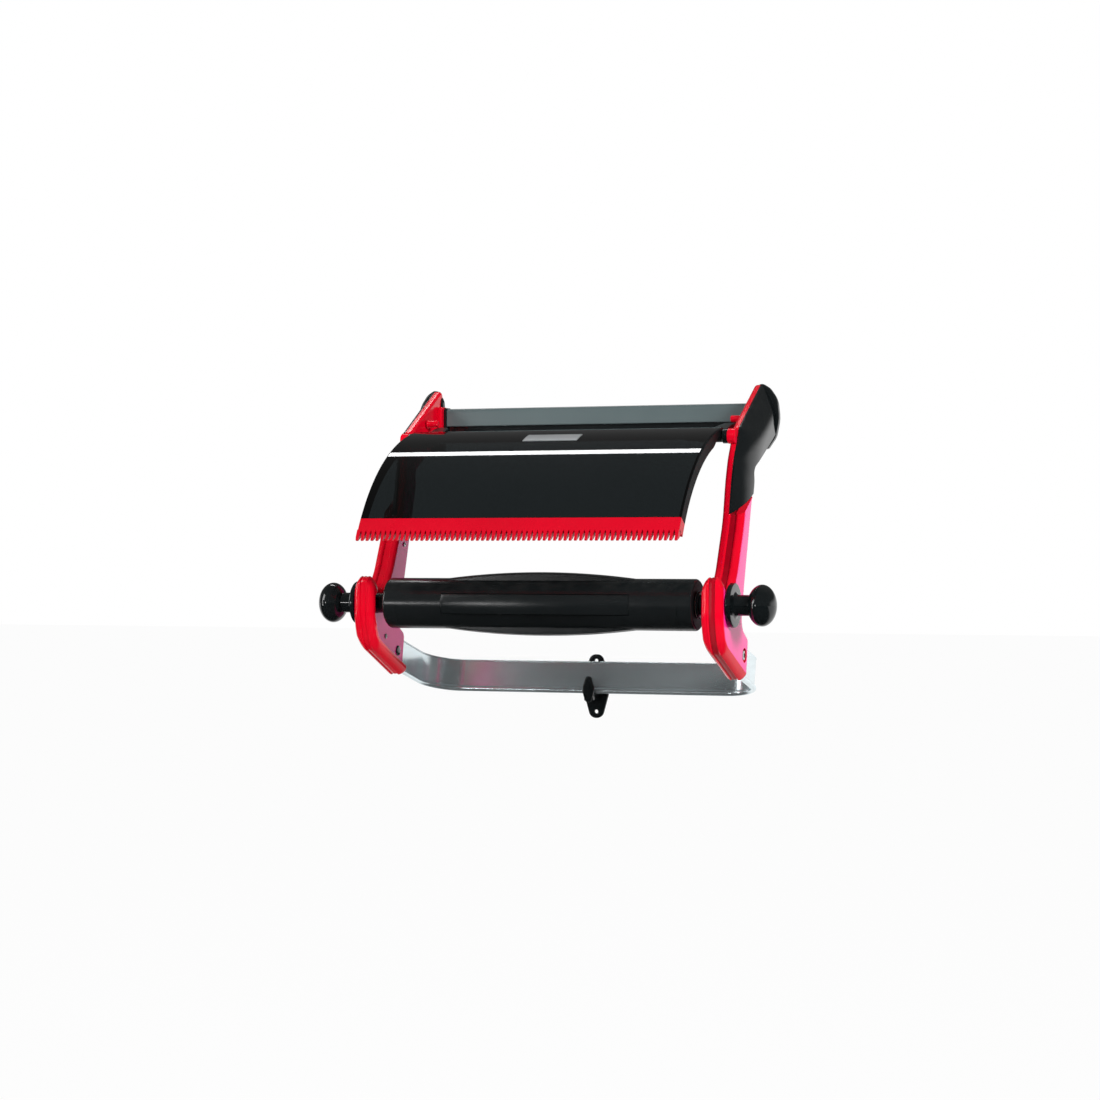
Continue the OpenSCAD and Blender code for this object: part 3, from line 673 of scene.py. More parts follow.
@dataclass
class WallRail:
    """The black rail on the wall, with its steel inside."""

    half_length: float = 224.6
    front: float = 209.0
    wall: float = 224.0
    middle: float = 252.0
    half_height: float = 19.6
    skin: float = 2.5
    step_back: float = 5.0
    band_low: float = 14.2
    band_gap: float = 0.2
    collar_width: float = 4.2
    collar_front: float = 2.0

    @property
    def top(self) -> float:
        """Height of the upper edge."""
        return self.middle + self.half_height

    @property
    def low(self) -> float:
        """Height of the lower edge."""
        return self.middle - self.half_height

    def build(self) -> None:
        """Builds the cover and dresses the steel."""
        self.band()
        self.lip()
        for node in ("wall_rail", "rail_ear_screws"):
            dress(node, PLATED_STEEL)

    def band(self) -> None:
        """The wide upper band of the cover's front."""
        ledge = self.low + self.band_low
        back, inside = self.front + self.step_back + self.skin, self.front + self.skin
        under = self.top - self.skin
        corners = [
            (self.front, self.top, 5.0), (self.front, ledge, 1.5), (back, ledge, 0.6),
            (back, ledge + self.skin, 0.6), (inside, ledge + self.skin, 1.0), (inside, under, 2.5),
            (self.wall, under, 0.4), (self.wall, self.top, 0.4),
        ]
        draft = Draft()
        draft.slab(corners, -self.half_length, self.half_length)
        draft.publish("rail_front", RAIL_GREY, "frame", "rail_cover")

    def lip(self) -> None:
        """The lower lip, set back, with a collar at each end of the rail."""
        ledge = self.low + self.band_low - self.band_gap
        back = self.front + self.step_back
        inside, over = back + self.skin, self.low + self.skin
        corners = [
            (back, ledge, 0.3), (back, self.low, 4.0), (self.wall, self.low, 0.4), (self.wall, over, 0.4),
            (inside, over, 1.5), (inside, ledge, 0.3),
        ]
        draft = Draft()
        draft.slab(corners, -self.half_length, self.half_length)
        front = self.front - self.collar_front
        collar = [
            (front, self.low - 1.0, 6.0), (self.wall, self.low - 1.0, 1.0), (self.wall, self.top + 1.5, 1.0),
            (front, self.top + 1.5, 5.0),
        ]
        ends = Draft()
        ends.slab(collar, self.half_length - self.collar_width, self.half_length + 0.1, near=1.0)
        ends.both_ends()
        draft.take(ends)
        draft.publish("rail_lip", BLACK_GLOSS, "frame", "rail_cover")


@dataclass(frozen=True)
class Seam:
    """The slanted plane between an arm's lower outer half and its top cover."""

    place: Vector
    way: Vector

    def below(self, spot: Vector) -> bool:
        """Whether a spot lies clearly below the plane."""
        return (spot - self.place).dot(self.way) < -0.05


@dataclass
class Arm:
    """One arm: two red halves, the black top cover, the end plate and the screws."""

    side: Side
    inner: float = 228.0
    parting: float = 243.0
    outer: float = 258.0
    recess: float = 236.0
    rim_round: float = 4.5
    lobe_round: float = 5.6
    outer_rim: float = 7.8
    wall_round: float = 0.5
    bore_round: float = 0.6
    lap: float = 0.2
    groove_half: float = 3.8
    groove_depth: float = 2.0
    roll: float = 2.6
    seam_place: Point2 = (78.0, 125.0)
    seam_slope: float = 30.3
    seam_gap: float = 0.3
    cover_start: float = 237.0
    cover_side: float = 2.5
    crown_width: float = 42.0
    grid_start: Point2 = (40.0, 115.0)
    grid_step: float = 3.2
    grid_lines: int = 59
    lean_from: float = 150.0
    lean_to: float = 232.0
    lean_out: float = 3.0
    socket: float = 224.5
    end_plate_span: Point2 = (-222.5, -212.0)
    screw_head: Point2 = (3.5, 1.8)
    nose_edge: float = -13.0
    nose_rise: float = 2.2
    nose_drop: float = 14.0
    nose_draw: float = 2.0
    nose_lift: float = 8.0
    nose_heights: Point2 = (-25.0, 15.0)
    nose_fronts: Point2 = (-14.0, -30.0)
    nose_flank: float = 7.0
    nose_sole: float = 16.0
    bolt_place: Point2 = (69.0, -67.0)
    bolt_bore: float = 9.5

    FRONT = (
        (103.0, 233.0, 14.0), (84.0, 192.0, 40.0), (65.0, 110.0, 100.0), (33.0, 46.0, 40.0), (13.8, 20.0, 8.0)
    )
    TOP = (
        (119.0, 162.0, 30.0), (117.0, 180.0, 14.0), (215.5, 230.0, 10.0), (222.5, 262.0, 30.0),
        (221.5, 302.0, 8.5),
    )
    TONGUE = ((-13.8, 36.0, 9.0), (-34.0, 36.0, 10.5), (-36.0, -22.0, 70.0), (-22.0, -60.0, 36.0))
    HEEL = (81.2, -104.5, 7.8)
    BACK = ((92.0, -45.0, 9.0), (60.0, -27.0, 14.0), (72.0, 20.0, 60.0))
    CRADLE = ((13.8, -13.8, 13.7), (-13.8, -13.8, 13.7))
    LOBE_RIM = (
        (84.3, -87.0, 6.0), (-9.5, -46.5, 24.0), (-21.5, -18.0, 40.0), (-22.5, 20.5, 2.5), (-13.8, 20.5, 5.8)
    )
    SOCKET = ((198.0, 232.0, 4.0), (222.3, 232.0, 2.0), (222.3, 274.0, 3.0), (198.0, 274.0, 4.0))
    LEG_FOOT = ((70.0, 12.0, 5.0), (13.8, 12.0, 5.0))
    BOSS_PLACE = (95.0, 222.0)
    BOSS = (
        (239.8, 0.0), (239.8, 9.6), (239.0, 10.4), (229.2, 10.4), (228.5, 9.7), (228.5, 5.2), (232.0, 5.2),
        (232.0, 0.0),
    )
    END_PLATE = (
        (236.0, 300.0, 6.0), (226.0, 284.0, 16.0), (224.0, 262.0, 10.0), (224.0, 210.0, 2.0),
        (247.0, 208.5, 4.0), (258.0, 225.0, 20.0), (263.0, 250.0, 40.0), (260.0, 276.0, 30.0),
        (249.0, 292.0, 18.0),
    )
    COVER_RINGS = (0.9, 1.2, 1.5)
    SCREWS = (
        (-19.0, 0.0, 236.0), (27.0, -46.0, 236.0), (72.0, 79.0, 228.0), (90.0, 150.0, 228.0),
        (150.5, 220.0, 228.0),
    )

    @property
    def silhouette(self) -> list[Corner]:
        """The whole outline of the arm."""
        return [*self.TONGUE, self.HEEL, *self.BACK, *self.TOP, *self.FRONT, *self.CRADLE]

    @property
    def shades(self) -> tuple[Finish, Finish]:
        """Finishes of the groove, darkened on the right arm as painted shade, and of what is beside it."""
        return RED_PAINTED_SHADE if self.side is Side.RIGHT else RED_SHELL, RED_RIM

    def node(self, word: str) -> str:
        """The node's name on this arm's side."""
        return f"{self.side.word}_{word}"

    def seam(self, gap: float) -> Seam:
        """The seam below the top cover, moved up by a gap."""
        slope = math.radians(self.seam_slope)
        way = Vector((0.0, -math.sin(slope), math.cos(slope)))
        return Seam(Vector((0.0, *self.seam_place)) + way * gap, way)

    def lean(self, draft: Draft) -> None:
        """Leans the upper part of a draft outwards."""
        draft.lean(self.lean_from, self.lean_to, self.lean_out)

    def build(self) -> None:
        """Builds the arm's pieces."""
        self.inner_half()
        self.outer_half()
        self.top_cover()
        self.end_plate()
        self.screws()

    def inner_half(self) -> None:
        """The half towards the roll: wall, raised rim round the lobe, upper arm and hinge boss."""
        seam = self.seam(0.0)
        edge = self.parting - self.groove_half
        overlap = self.recess + self.lap
        draft = Draft()
        wall = Draft()
        wall.outline(self.silhouette, self.recess)
        wall.thicken(wall.keep_side(seam.place, seam.way), edge - self.recess)
        wall.outwards()
        wall.soften(wall.rim(edge, seam.below), self.roll, 3)
        wall.soften(wall.rim(self.recess, seam.below), self.wall_round, 2)
        draft.take(wall)
        draft.take(self.groove_core(seam, edge - 1.0, self.parting))
        upper = Draft()
        upper.outline(self.silhouette, self.recess)
        upper.thicken(upper.keep_side(seam.place, -seam.way), self.cover_start - self.recess)
        upper.outwards()
        draft.take(upper)
        rim = Draft()
        rim.slab([*self.TONGUE, self.HEEL, *self.LOBE_RIM], self.inner, overlap, near=self.lobe_round)
        rim.paint(2)
        draft.take(rim)
        self.blunt(draft)
        leg = [self.LEG_FOOT[0], *self.TOP, *self.FRONT, self.LEG_FOOT[1]]
        draft.slab(leg, self.inner, overlap, near=self.rim_round)
        self.lean(draft)
        draft.slab(self.SOCKET, self.socket, overlap, near=1.5)
        draft.turned(self.BOSS, *self.BOSS_PLACE, 48)
        node = self.node("arm_inner")
        draft.publish(self.node("inner_shell"), RED_SHELL, "frame", node, self.side, others=self.shades)

    def groove_core(self, seam: Seam, x0: float, x1: float) -> Draft:
        """The set-back core that shows in the groove between the two halves."""
        core = Draft()
        core.outline(self.silhouette, x0)
        ring = core.inset(core.keep_side(seam.place, seam.way), self.groove_depth)
        bmesh.ops.delete(core.bm, geom=ring, context="FACES")
        core.thicken(core.bm.faces[:], x1 - x0)
        core.outwards()
        # Marks the core for the second finish, which is painted shade on the right arm.
        core.paint(1)
        return core

    def blunt(self, draft: Draft) -> None:
        """Draws the lobe's side edges in, so that its top, front and underside bulge like a fingertip."""
        start, end = Vector(self.TONGUE[-1][:2]), Vector(self.HEEL[:2])
        along = (end - start).normalized()
        inward = Vector((-along.y, along.x))
        for vert in draft.bm.verts:
            spot = vert.co.yz
            off = abs(vert.co.x - self.parting)
            bulge = (off / (self.outer - self.parting)) ** 2
            if spot.x < self.nose_edge:
                vert.co.z += (self.nose_rise - self.nose_drop * bulge) * share(spot.y, *self.nose_heights)
                flank = share(off, 0.0, self.nose_flank) ** 2
                vert.co.y += self.nose_draw * flank * share(spot.x, *self.nose_fronts)
            under = share((spot - start).dot(inward), self.nose_sole, 0.0)
            lift = inward * self.nose_lift * bulge * under
            vert.co.y += lift.x
            vert.co.z += lift.y
        draft.paint(2, self.beside_groove)

    def beside_groove(self, face: BMFace) -> bool:
        """Whether a face lies beside the groove and has no finish of its own yet."""
        off = abs(face.calc_center_median().x - self.parting)
        return face.material_index == 0 and off < self.groove_half + self.roll

    def in_bore(self, spot: Vector) -> bool:
        """Whether a spot lies at the bore over the strap's bolt."""
        return (spot.yz - Vector(self.bolt_place)).length <= self.bolt_bore + 0.5

    def outer_half(self) -> None:
        """The lower outer half, with the bore over the strap's bolt."""
        seam = self.seam(-self.seam_gap)
        start = self.parting + self.groove_half

        def on_rim(spot: Vector) -> bool:
            """Whether a spot is off both the seam and the bore."""
            return seam.below(spot) and not self.in_bore(spot)

        draft = Draft()
        draft.outline(self.silhouette, start)
        faces = draft.keep_side(seam.place, seam.way)
        faces = draft.pierced(faces, [(*self.bolt_place, self.bolt_bore)], start)
        draft.thicken(faces, self.outer - start)
        draft.outwards()
        draft.soften(draft.rim(self.outer, on_rim), self.outer_rim, 5)
        draft.soften(draft.rim(self.outer, self.in_bore), self.bore_round, 2)
        draft.soften(draft.rim(start, on_rim), self.roll, 3)
        draft.take(self.groove_core(seam, self.parting + 0.02, start + 1.0))
        self.blunt(draft)
        node = self.node("arm_outer")
        draft.publish(self.node("outer_shell"), RED_SHELL, "frame", node, self.side, others=self.shades)

    def top_cover(self) -> None:
        """The crowned black cover over the top of the outer half."""
        seam = self.seam(self.seam_gap)
        draft = Draft()
        draft.outline([*self.BACK[2:], *self.TOP, *self.FRONT], self.cover_start)
        draft.keep_side(seam.place, -seam.way)
        for width in self.COVER_RINGS:
            draft.inset([max(draft.bm.faces, key=BMFace.calc_area)], width)
        for line in range(1, self.grid_lines + 1):
            y, z = (start + self.grid_step * line for start in self.grid_start)
            draft.score((0.0, y, 0.0), (0.0, 1.0, 0.0))
            draft.score((0.0, 0.0, z), (0.0, 0.0, 1.0))
        bmesh.ops.remove_doubles(draft.bm, verts=draft.bm.verts, dist=0.25)
        height = self.outer - self.cover_start - self.cover_side
        for vert in draft.thicken(draft.bm.faces[:], self.cover_side):
            inside = share(self.rim_distance(vert.co), 0.0, self.crown_width)
            vert.co.x += height * (1.0 - (1.0 - inside) ** 2)
        draft.outwards()
        self.lean(draft)
        node = self.node("top_cover")
        draft.publish(self.node("cover"), BLACK_GLOSS, "frame", node, self.side, flat_caps=False, crease=30.0)

    def rim_distance(self, place: Vector) -> float:
        """Distance from a place to the cover's front and top edges, blended smoothly at their corner."""
        spot = place.yz
        line = [Vector(edge[:2]) for edge in (self.TOP[-1], *self.FRONT[:3])]
        near = 0.0
        for start, end in zip(line, line[1:]):
            along = intersect_point_line(spot, start, end)[1]
            foot = start.lerp(end, share(along, 0.0, 1.0))
            near += max((spot - foot).length, SAME_PLACE) ** -4.0
        return near ** -0.25

    def end_plate(self) -> None:
        """The bowed black plate that closes the cover at the wall."""
        draft = Draft()
        draft.slab(self.END_PLATE, *self.end_plate_span, near=1.5, far=2.5)
        draft.turn(-QUARTER, "Z")
        self.lean(draft)
        node = self.node("end_plate")
        draft.publish(self.node("end_plate_moulding"), BLACK_GLOSS, "frame", node, self.side)

    def screws(self) -> None:
        """The round-headed screws in the inner face."""
        draft = Draft()
        for y, z, face in self.SCREWS:
            draft.turned(pan_head(face, *self.screw_head), y, z, 32)
        self.lean(draft)
        draft.publish(self.node("arm_screw_heads"), PLATED_STEEL, "frame", self.node("arm_screws"), self.side)


@dataclass
class Hood:
    """The hinged smoked hood with its brackets, cutter strip and bare plate."""

    half: float = 221.0
    radius: float = 270.0
    thickness: float = 3.0
    wall: float = 3.0
    lip: float = 18.0
    lip_least: float = 0.12
    lip_angles: Point2 = (12.0, 19.0)
    lip_curve: float = 0.7
    start: float = 8.5
    end: float = 57.3
    centre: Point2 = (135.391, -33.021)
    hinge: Point2 = (95.0, 222.0)
    rod_bore: float = 5.2
    bracket_gap: float = 3.3
    bracket_width: float = 30.0
    saddle_low: float = 264.0
    saddle_high: float = 266.9
    saddle_start: float = 8.6
    saddle_turn: float = 13.4
    tail_size: Point3 = (30.0, 70.0, 9.0)
    tail_place: float = 41.0
    tail_taper: float = 0.72
    tail_draw: float = 14.0
    tail_slope: float = 13.96
    rivet_size: Point2 = (2.0, 4.0)
    rivet_angles: Point2 = (14.0, 19.0)
    rivet_places: Point2 = (0.25, 0.75)
    plate_ends: Point2 = (-39.5, 37.5)
    plate_sink: float = 0.6
    plate_rise: float = 0.8
    plate_start: float = 17.0
    plate_turn: float = 5.4
    strip_end: float = 64.4
    strip_thickness: float = 8.0
    shoulder_thickness: float = 6.0
    tip_thickness: float = 2.0
    tooth_pitch: float = 7.05
    tooth_length: float = 16.0
    tooth_tip: float = 3.4
    teeth_slots: int = 62

    PEG = ((229.0, 0.0), (229.0, 6.0), (226.5, 4.75), (214.2, 4.75), (213.0, 3.6), (213.0, 0.0))
    PEG_PLACE = (160.0, 248.0)
    TOOTH_CUTS = (1.0, 0.93, 0.8, 0.0)
    TOOTH_HEIGHTS = (-0.5, -0.12, 0.16, 0.5)

    def build(self) -> None:
        """Builds the hood's pieces and dresses what stays from the model."""
        self.shell()
        for side in Side:
            self.bracket(side)
        self.rivets()
        self.cutter()
        self.plate()
        self.pegs()
        dress("hinge_rod", PLATED_STEEL)
        self.spacers()

    def from_centre(self, place: Vector) -> Vector:
        """The way from the hood's centre line to a place, as Y and Z."""
        return place.yz - Vector(self.centre)

    def at(self, x: float, radius: float, angle: float) -> Vector:
        """A place by its distance from the hood's centre line and its angle from the vertical, in radians."""
        y, z = self.centre
        return Vector((x, y - radius * math.sin(angle), z + radius * math.cos(angle)))

    def sweep(self, corners: Sequence[Corner], start: float, turn: float, steps: int) -> Draft:
        """Draws a section across the hood and sweeps it towards the front.

        Args:
            corners: Places along X with their radii from the hood's centre and corner radii.
            start: Angle from the vertical at which it starts, in degrees.
            turn: Angle through which it is swept.
            steps: Number of segments.

        Returns:
            The swept solid.
        """
        draft = Draft()
        section = draft.outline(corners, 0.0)
        for vert in draft.bm.verts:
            vert.co = self.at(vert.co.y, vert.co.z, math.radians(start))
        draft.swept(section, self.centre, math.radians(turn), steps)
        return draft

    def channel(self, inside: float, inner_round: float, outer_round: float) -> list[Corner]:
        """Section of a sheet with a lip at each end.

        Args:
            inside: Radius of the sheet's underside.
            inner_round: Rounding of the corners inside.
            outer_round: Rounding of the corners on top.

        Returns:
            Places along X with their radii and corner radii.
        """
        low, half, wall = self.radius - self.lip, self.half, self.half - self.wall
        return [
            (-half, low, 0.8), (-wall, low, 0.8), (-wall, inside, inner_round), (wall, inside, inner_round),
            (wall, low, 0.8), (half, low, 0.8), (half, self.radius, outer_round),
            (-half, self.radius, outer_round),
        ]

    def shell(self) -> None:
        """The curved sheet with a lip at each end that runs out towards the hinge."""
        inside = self.radius - self.thickness
        draft = self.sweep(self.channel(inside, 1.5, 2.6), self.start, self.end - self.start, 64)
        for vert in draft.bm.verts:
            flat = self.from_centre(vert.co)
            if flat.length > inside - 0.4:
                continue
            angle = math.degrees(math.atan2(-flat.x, flat.y))
            depth = self.lip_least + (1.0 - self.lip_least) * share(angle, *self.lip_angles) ** self.lip_curve
            vert.co = self.at(vert.co.x, inside - (inside - flat.length) * depth, math.radians(angle))
        draft.outwards()
        draft.paint(1, self.on_lip)
        draft.publish("smoked_sheet", SMOKE_HOOD, "hood", "hood_shell", others=(BLACK_EDGE,))

    def on_lip(self, face: BMFace) -> bool:
        """Whether a face of the sheet belongs to one of its lips."""
        place = face.calc_center_median()
        is_end = abs(place.x) > self.half - self.wall - 0.1
        return is_end and self.from_centre(place).length < self.radius - 1.0

    def bracket(self, side: Side) -> None:
        """A hinge sleeve, a saddle under the sheet and a tail below the stop peg."""
        x1 = self.half - self.bracket_gap
        x0 = x1 - self.bracket_width
        end, bore = self.half - 0.1, self.rod_bore
        sleeve = [(x0, bore), (x0, 7.4), (x0 + 0.6, 8.0), (end - 0.6, 8.0), (end, 7.4), (end, bore)]
        draft = Draft()
        draft.turned([*sleeve, sleeve[0]], *self.hinge, 64)
        low, high = self.saddle_low, self.saddle_high
        saddle = [(x0 + 1.0, low, 0.6), (x1 - 1.0, low, 0.6), (x1 - 1.0, high, 0.6), (x0 + 1.0, high, 0.6)]
        draft.take(self.sweep(saddle, self.saddle_start, self.saddle_turn, 14))
        draft.take(self.tail((x0 + x1) / 2.0))
        node = f"{side.word}_hood_bracket"
        draft.publish(f"{side.word}_hinge_bracket", BLACK_SATIN, "hood", node, side)

    def tail(self, middle: float) -> Draft:
        """The tapered bar behind the hinge, about a place along X."""
        tail = Draft()
        tail.block(self.tail_size)
        tail.shift((middle, self.tail_place, 0.0))
        for vert in tail.bm.verts:
            if vert.co.y > self.tail_place:
                vert.co.z *= self.tail_taper
                if vert.co.x < middle:
                    vert.co.x += self.tail_draw
        tail.soften(tail.bm.edges, 1.6, 3)
        tail.turn(math.radians(self.tail_slope), "X")
        tail.shift((0.0, *self.hinge))
        return tail

    def spacers(self) -> None:
        """The black spacer on the rod between the hood and each arm."""
        x0, x1, bore = self.half + 0.5, self.half + 8.2, self.rod_bore
        ring = [(x0, bore), (x0, 9.2), (x0 + 0.6, 9.8), (x1 - 0.4, 9.8), (x1, 9.4), (x1, bore), (x0, bore)]
        draft = Draft()
        draft.turned(ring, *self.hinge, 64)
        draft.both_ends()
        draft.publish("hinge_spacers", BLACK_BODY, "frame", "hinge_washers")

    def rivets(self) -> None:
        """Domed rivet heads under the saddles."""
        draft = Draft()
        radius = self.rivet_size[1]
        dome = arc((0.0, 0.0), self.rivet_size, 0, 90, 18)
        for angle in self.rivet_angles:
            slope = math.radians(angle)
            for across in self.rivet_places:
                head = Draft()
                head.turned([(-0.2, 0.0), (-0.2, radius), *dome], steps=32)
                head.turn(QUARTER, "Y")
                head.turn(slope, "X")
                x = self.half - self.bracket_gap - self.bracket_width * across
                head.shift(self.at(x, self.saddle_low, slope))
                draft.take(head)
        draft.both_ends()
        draft.publish("rivet_heads", PLATED_STEEL, "hood", "hood_rivets")

    def cutter(self) -> None:
        """The red strip, flush with the sheet, with its row of bevelled teeth."""
        root = self.strip_end - math.degrees(self.tooth_length / self.radius)
        band = self.channel(self.radius - self.strip_thickness, 1.0, 2.4)
        draft = self.sweep(band, self.end + 0.06, root - self.end + 0.3, 8)
        teeth = Draft()
        for i in range(self.teeth_slots + 1):
            x = (i - self.teeth_slots / 2.0) * self.tooth_pitch
            teeth.take(self.tooth(x, i in (0, self.teeth_slots)))
        teeth.turn(math.radians((root + self.strip_end) / 2.0), "X")
        teeth.shift((0.0, *self.centre))
        draft.take(teeth)
        draft.publish("toothed_strip", RED_CUTTER, "hood", "cutter_strip")

    def tooth(self, x: float, is_last: bool) -> Draft:
        """One finger of the strip, thick at its root and thin at its tip.

        Args:
            x: Place of its middle along X.
            is_last: Whether it ends the row.

        Returns:
            The tooth, upright under the hood's crown.
        """
        part = Draft()
        part.block((1.0, self.tooth_length, 1.0))
        bmesh.ops.subdivide_edges(part.bm, edges=part.lengthways(), cuts=2, use_grid_fill=True)
        slot = self.tooth_pitch - self.tooth_tip
        levels = sorted({round(vert.co.y, 3) for vert in part.bm.verts})
        widths = [self.tooth_pitch - cut * slot for cut in self.TOOTH_CUTS]
        depths = (self.tip_thickness, self.shoulder_thickness, self.strip_thickness, self.strip_thickness)
        for vert in part.bm.verts:
            level = levels.index(round(vert.co.y, 3))
            vert.co.x *= widths[level]
            vert.co.y = self.TOOTH_HEIGHTS[level] * self.tooth_length
            vert.co.z = self.radius - (0.0 if vert.co.z > 0.0 else depths[level])
        if is_last:
            outer = math.copysign(1.0, x)
            for vert in part.bm.verts:
                if vert.co.x * outer > 0.0:
                    draw = 0.8 if vert.co.y < -0.3 * self.tooth_length else 0.0
                    vert.co.x = outer * (self.half - abs(x) - draw)
        low = -0.4 * self.tooth_length
        tip = [edge for edge in part.bm.edges if all(vert.co.y < low for vert in edge.verts)]
        part.soften(tip, 0.7, 2)
        part.shift((x, 0.0, 0.0))
        return part

    def plate(self) -> None:
        """The bare metal plate on the crown of the hood."""
        left, right = self.plate_ends
        low, high = self.radius - self.plate_sink, self.radius + self.plate_rise
        corners = [(left, low, 0.0), (right, low, 0.0), (right, high, 0.3), (left, high, 0.3)]
        draft = self.sweep(corners, self.plate_start, self.plate_turn, 12)
        draft.publish("crown_plate", PLATE_METAL, "hood", "blank_plate")

    def pegs(self) -> None:
        """The red stop pegs on the arms' inner faces."""
        draft = Draft()
        draft.turned(self.PEG, *self.PEG_PLACE, 40)
        draft.both_ends()
        draft.publish("stop_peg_pair", RED_SHELL, "frame", "stop_pegs")


@dataclass
class Spindle:
    """The lift-out axle with its knobs, and the sprung body that turns on it."""

    axle_radius: float = 13.5
    axle_half: float = 258.8
    stub_length: float = 30.0
    stub_radius: float = 6.0
    collar_width: float = 3.5
    collar_height: float = 4.0
    body_radius: float = 33.8
    body_half: float = 216.0
    tube_half: float = 196.0
    tube_wall: float = 4.0
    cap_round: float = 4.0
    cap_bore: float = 17.4
    plug_depth: float = 12.0
    plug_radius: float = 29.7
    flange_start: float = 259.3
    flange_width: float = 6.6
    flange_radius: float = 29.0
    neck_radius: float = 13.5
    neck_fillet: float = 5.2
    ball_radius: float = 27.0
    ball_length: float = 18.5
    ball_place: float = 41.6
    grip_half: float = 131.0
    grip_width: float = 26.0
    grip_rise: float = 8.2
    grip_thickness: float = 3.5
    window_angle: float = 24.0
    window_gap: float = 0.5

    def build(self) -> None:
        """Builds the spindle's pieces."""
        self.axle()
        self.collars()
        self.tube()
        for side in Side:
            self.cap(side)
            self.knob(side)
            dress(f"{side.word}_bush", BUSH_NYLON)
        for word, angle in (("top", 0.0), ("front", 90.0), ("bottom", 180.0), ("back", 270.0)):
            self.grip(word, angle)

    def axle(self) -> None:
        """The stepped axle."""
        half, r, stub = self.axle_half, self.axle_radius, self.stub_radius
        tip = half + self.stub_length
        ends = [(tip, 0.0), (tip, stub), (half, stub), (half, r - 0.8), (half - 0.8, r)]
        draft = Draft()
        draft.turned([*ends, *[(-x, radius) for x, radius in reversed(ends)]])
        draft.publish("axle_bar", BLACK_BODY, "spindle", "spindle_axle")

    def collars(self) -> None:
        """The rings that keep the body in place."""
        x0, r = self.body_half + 0.3, self.axle_radius
        x1, top = x0 + self.collar_width, r + self.collar_height
        ring = [(x0, r), (x0, top - 0.6), (x0 + 0.6, top), (x1 - 0.6, top), (x1, top - 0.6), (x1, r), (x0, r)]
        draft = Draft()
        draft.turned(ring)
        draft.both_ends()
        draft.publish("collar_pair", BLACK_BODY, "spindle", "axle_collars")

    def tube(self) -> None:
        """The tube with a window for each grip."""
        draft = Draft()
        edges = draft.circle(self.body_radius, Vector((-self.tube_half, 0.0, 0.0)), "Y", 120)
        window = self.grip_half + self.window_gap
        for place in (-window, window, self.tube_half):
            grown = bmesh.ops.extrude_edge_only(draft.bm, edges=edges)["geom"]
            edges = [item for item in grown if isinstance(item, BMEdge)]
            for vert in (item for item in grown if isinstance(item, BMVert)):
                vert.co.x = place
        gone = []
        for face in draft.bm.faces:
            middle = face.calc_center_median()
            angle = math.degrees(math.atan2(middle.y, middle.z)) % 90.0
            if abs(middle.x) < window and min(angle, 90.0 - angle) < self.window_angle:
                gone.append(face)
        bmesh.ops.delete(draft.bm, geom=gone, context="FACES")
        draft.outwards()
        self.face_out(draft)
        bmesh.ops.solidify(draft.bm, geom=draft.bm.faces[:], thickness=self.tube_wall)
        draft.publish("roll_tube", BLACK_BODY, "core", "core_tube")

    @staticmethod
    def face_out(draft: Draft) -> None:
        """Turns an open tube's faces away from the axis."""
        wrong = [face for face in draft.bm.faces if face.normal.yz.dot(face.calc_center_median().yz) < 0.0]
        bmesh.ops.reverse_faces(draft.bm, faces=wrong)

    def cap(self, side: Side) -> None:
        """The end cap, with a black end that hardly reflects."""
        x0, x1, r = self.tube_half, self.body_half, self.body_radius
        plug = x0 - self.plug_depth
        shoulder = [(plug, self.plug_radius), (x0, self.plug_radius), (x0, r - 0.4), (x0 + 0.4, r)]
        edge = arc((x1 - self.cap_round, r - self.cap_round), (self.cap_round, self.cap_round), 0, 90, 10)
        draft = Draft()
        draft.turned([(plug, self.cap_bore), *shoulder, *edge, (x1, self.cap_bore), (plug, self.cap_bore)])
        draft.paint(1, self.on_end)
        node = f"{side.word}_end_cap"
        draft.publish(f"{side.word}_body_cap", BLACK_BODY, "core", node, side, others=(BLACK_EDGE,))

    @staticmethod
    def on_end(face: BMFace) -> bool:
        """Whether a face looks outwards along the spindle."""
        return face.normal.x > 0.9

    def knob(self, side: Side) -> None:
        """The turned knob: flange, waisted neck and flattened ball."""
        x0, x1, top = self.flange_start, self.flange_start + self.flange_width, self.flange_radius
        rim = [(x0, top - 1.5), (x0 + 0.45, top - 0.45), (x0 + 1.5, top)]
        rim += [(x1 - 1.5, top), (x1 - 0.45, top - 0.45), (x1, top - 1.5)]
        fillet = self.neck_fillet
        neck = arc((x1 + fillet, self.neck_radius + fillet), (fillet, -fillet), 270, 360, 10)
        first = math.acos(self.neck_radius / self.ball_radius)
        steps = 40
        globe = []
        for i in range(steps + 1):
            turn = (QUARTER + first) * i / steps - first
            x = x0 + self.ball_place + self.ball_length * math.sin(turn)
            globe.append((x, self.ball_radius * math.cos(turn)))
        draft = Draft()
        draft.turned([(x0, self.stub_radius + 0.1), *rim, *neck, *globe])
        draft.publish(f"{side.word}_turned_knob", BLACK_GLOSS, "spindle", f"{side.word}_knob", side)

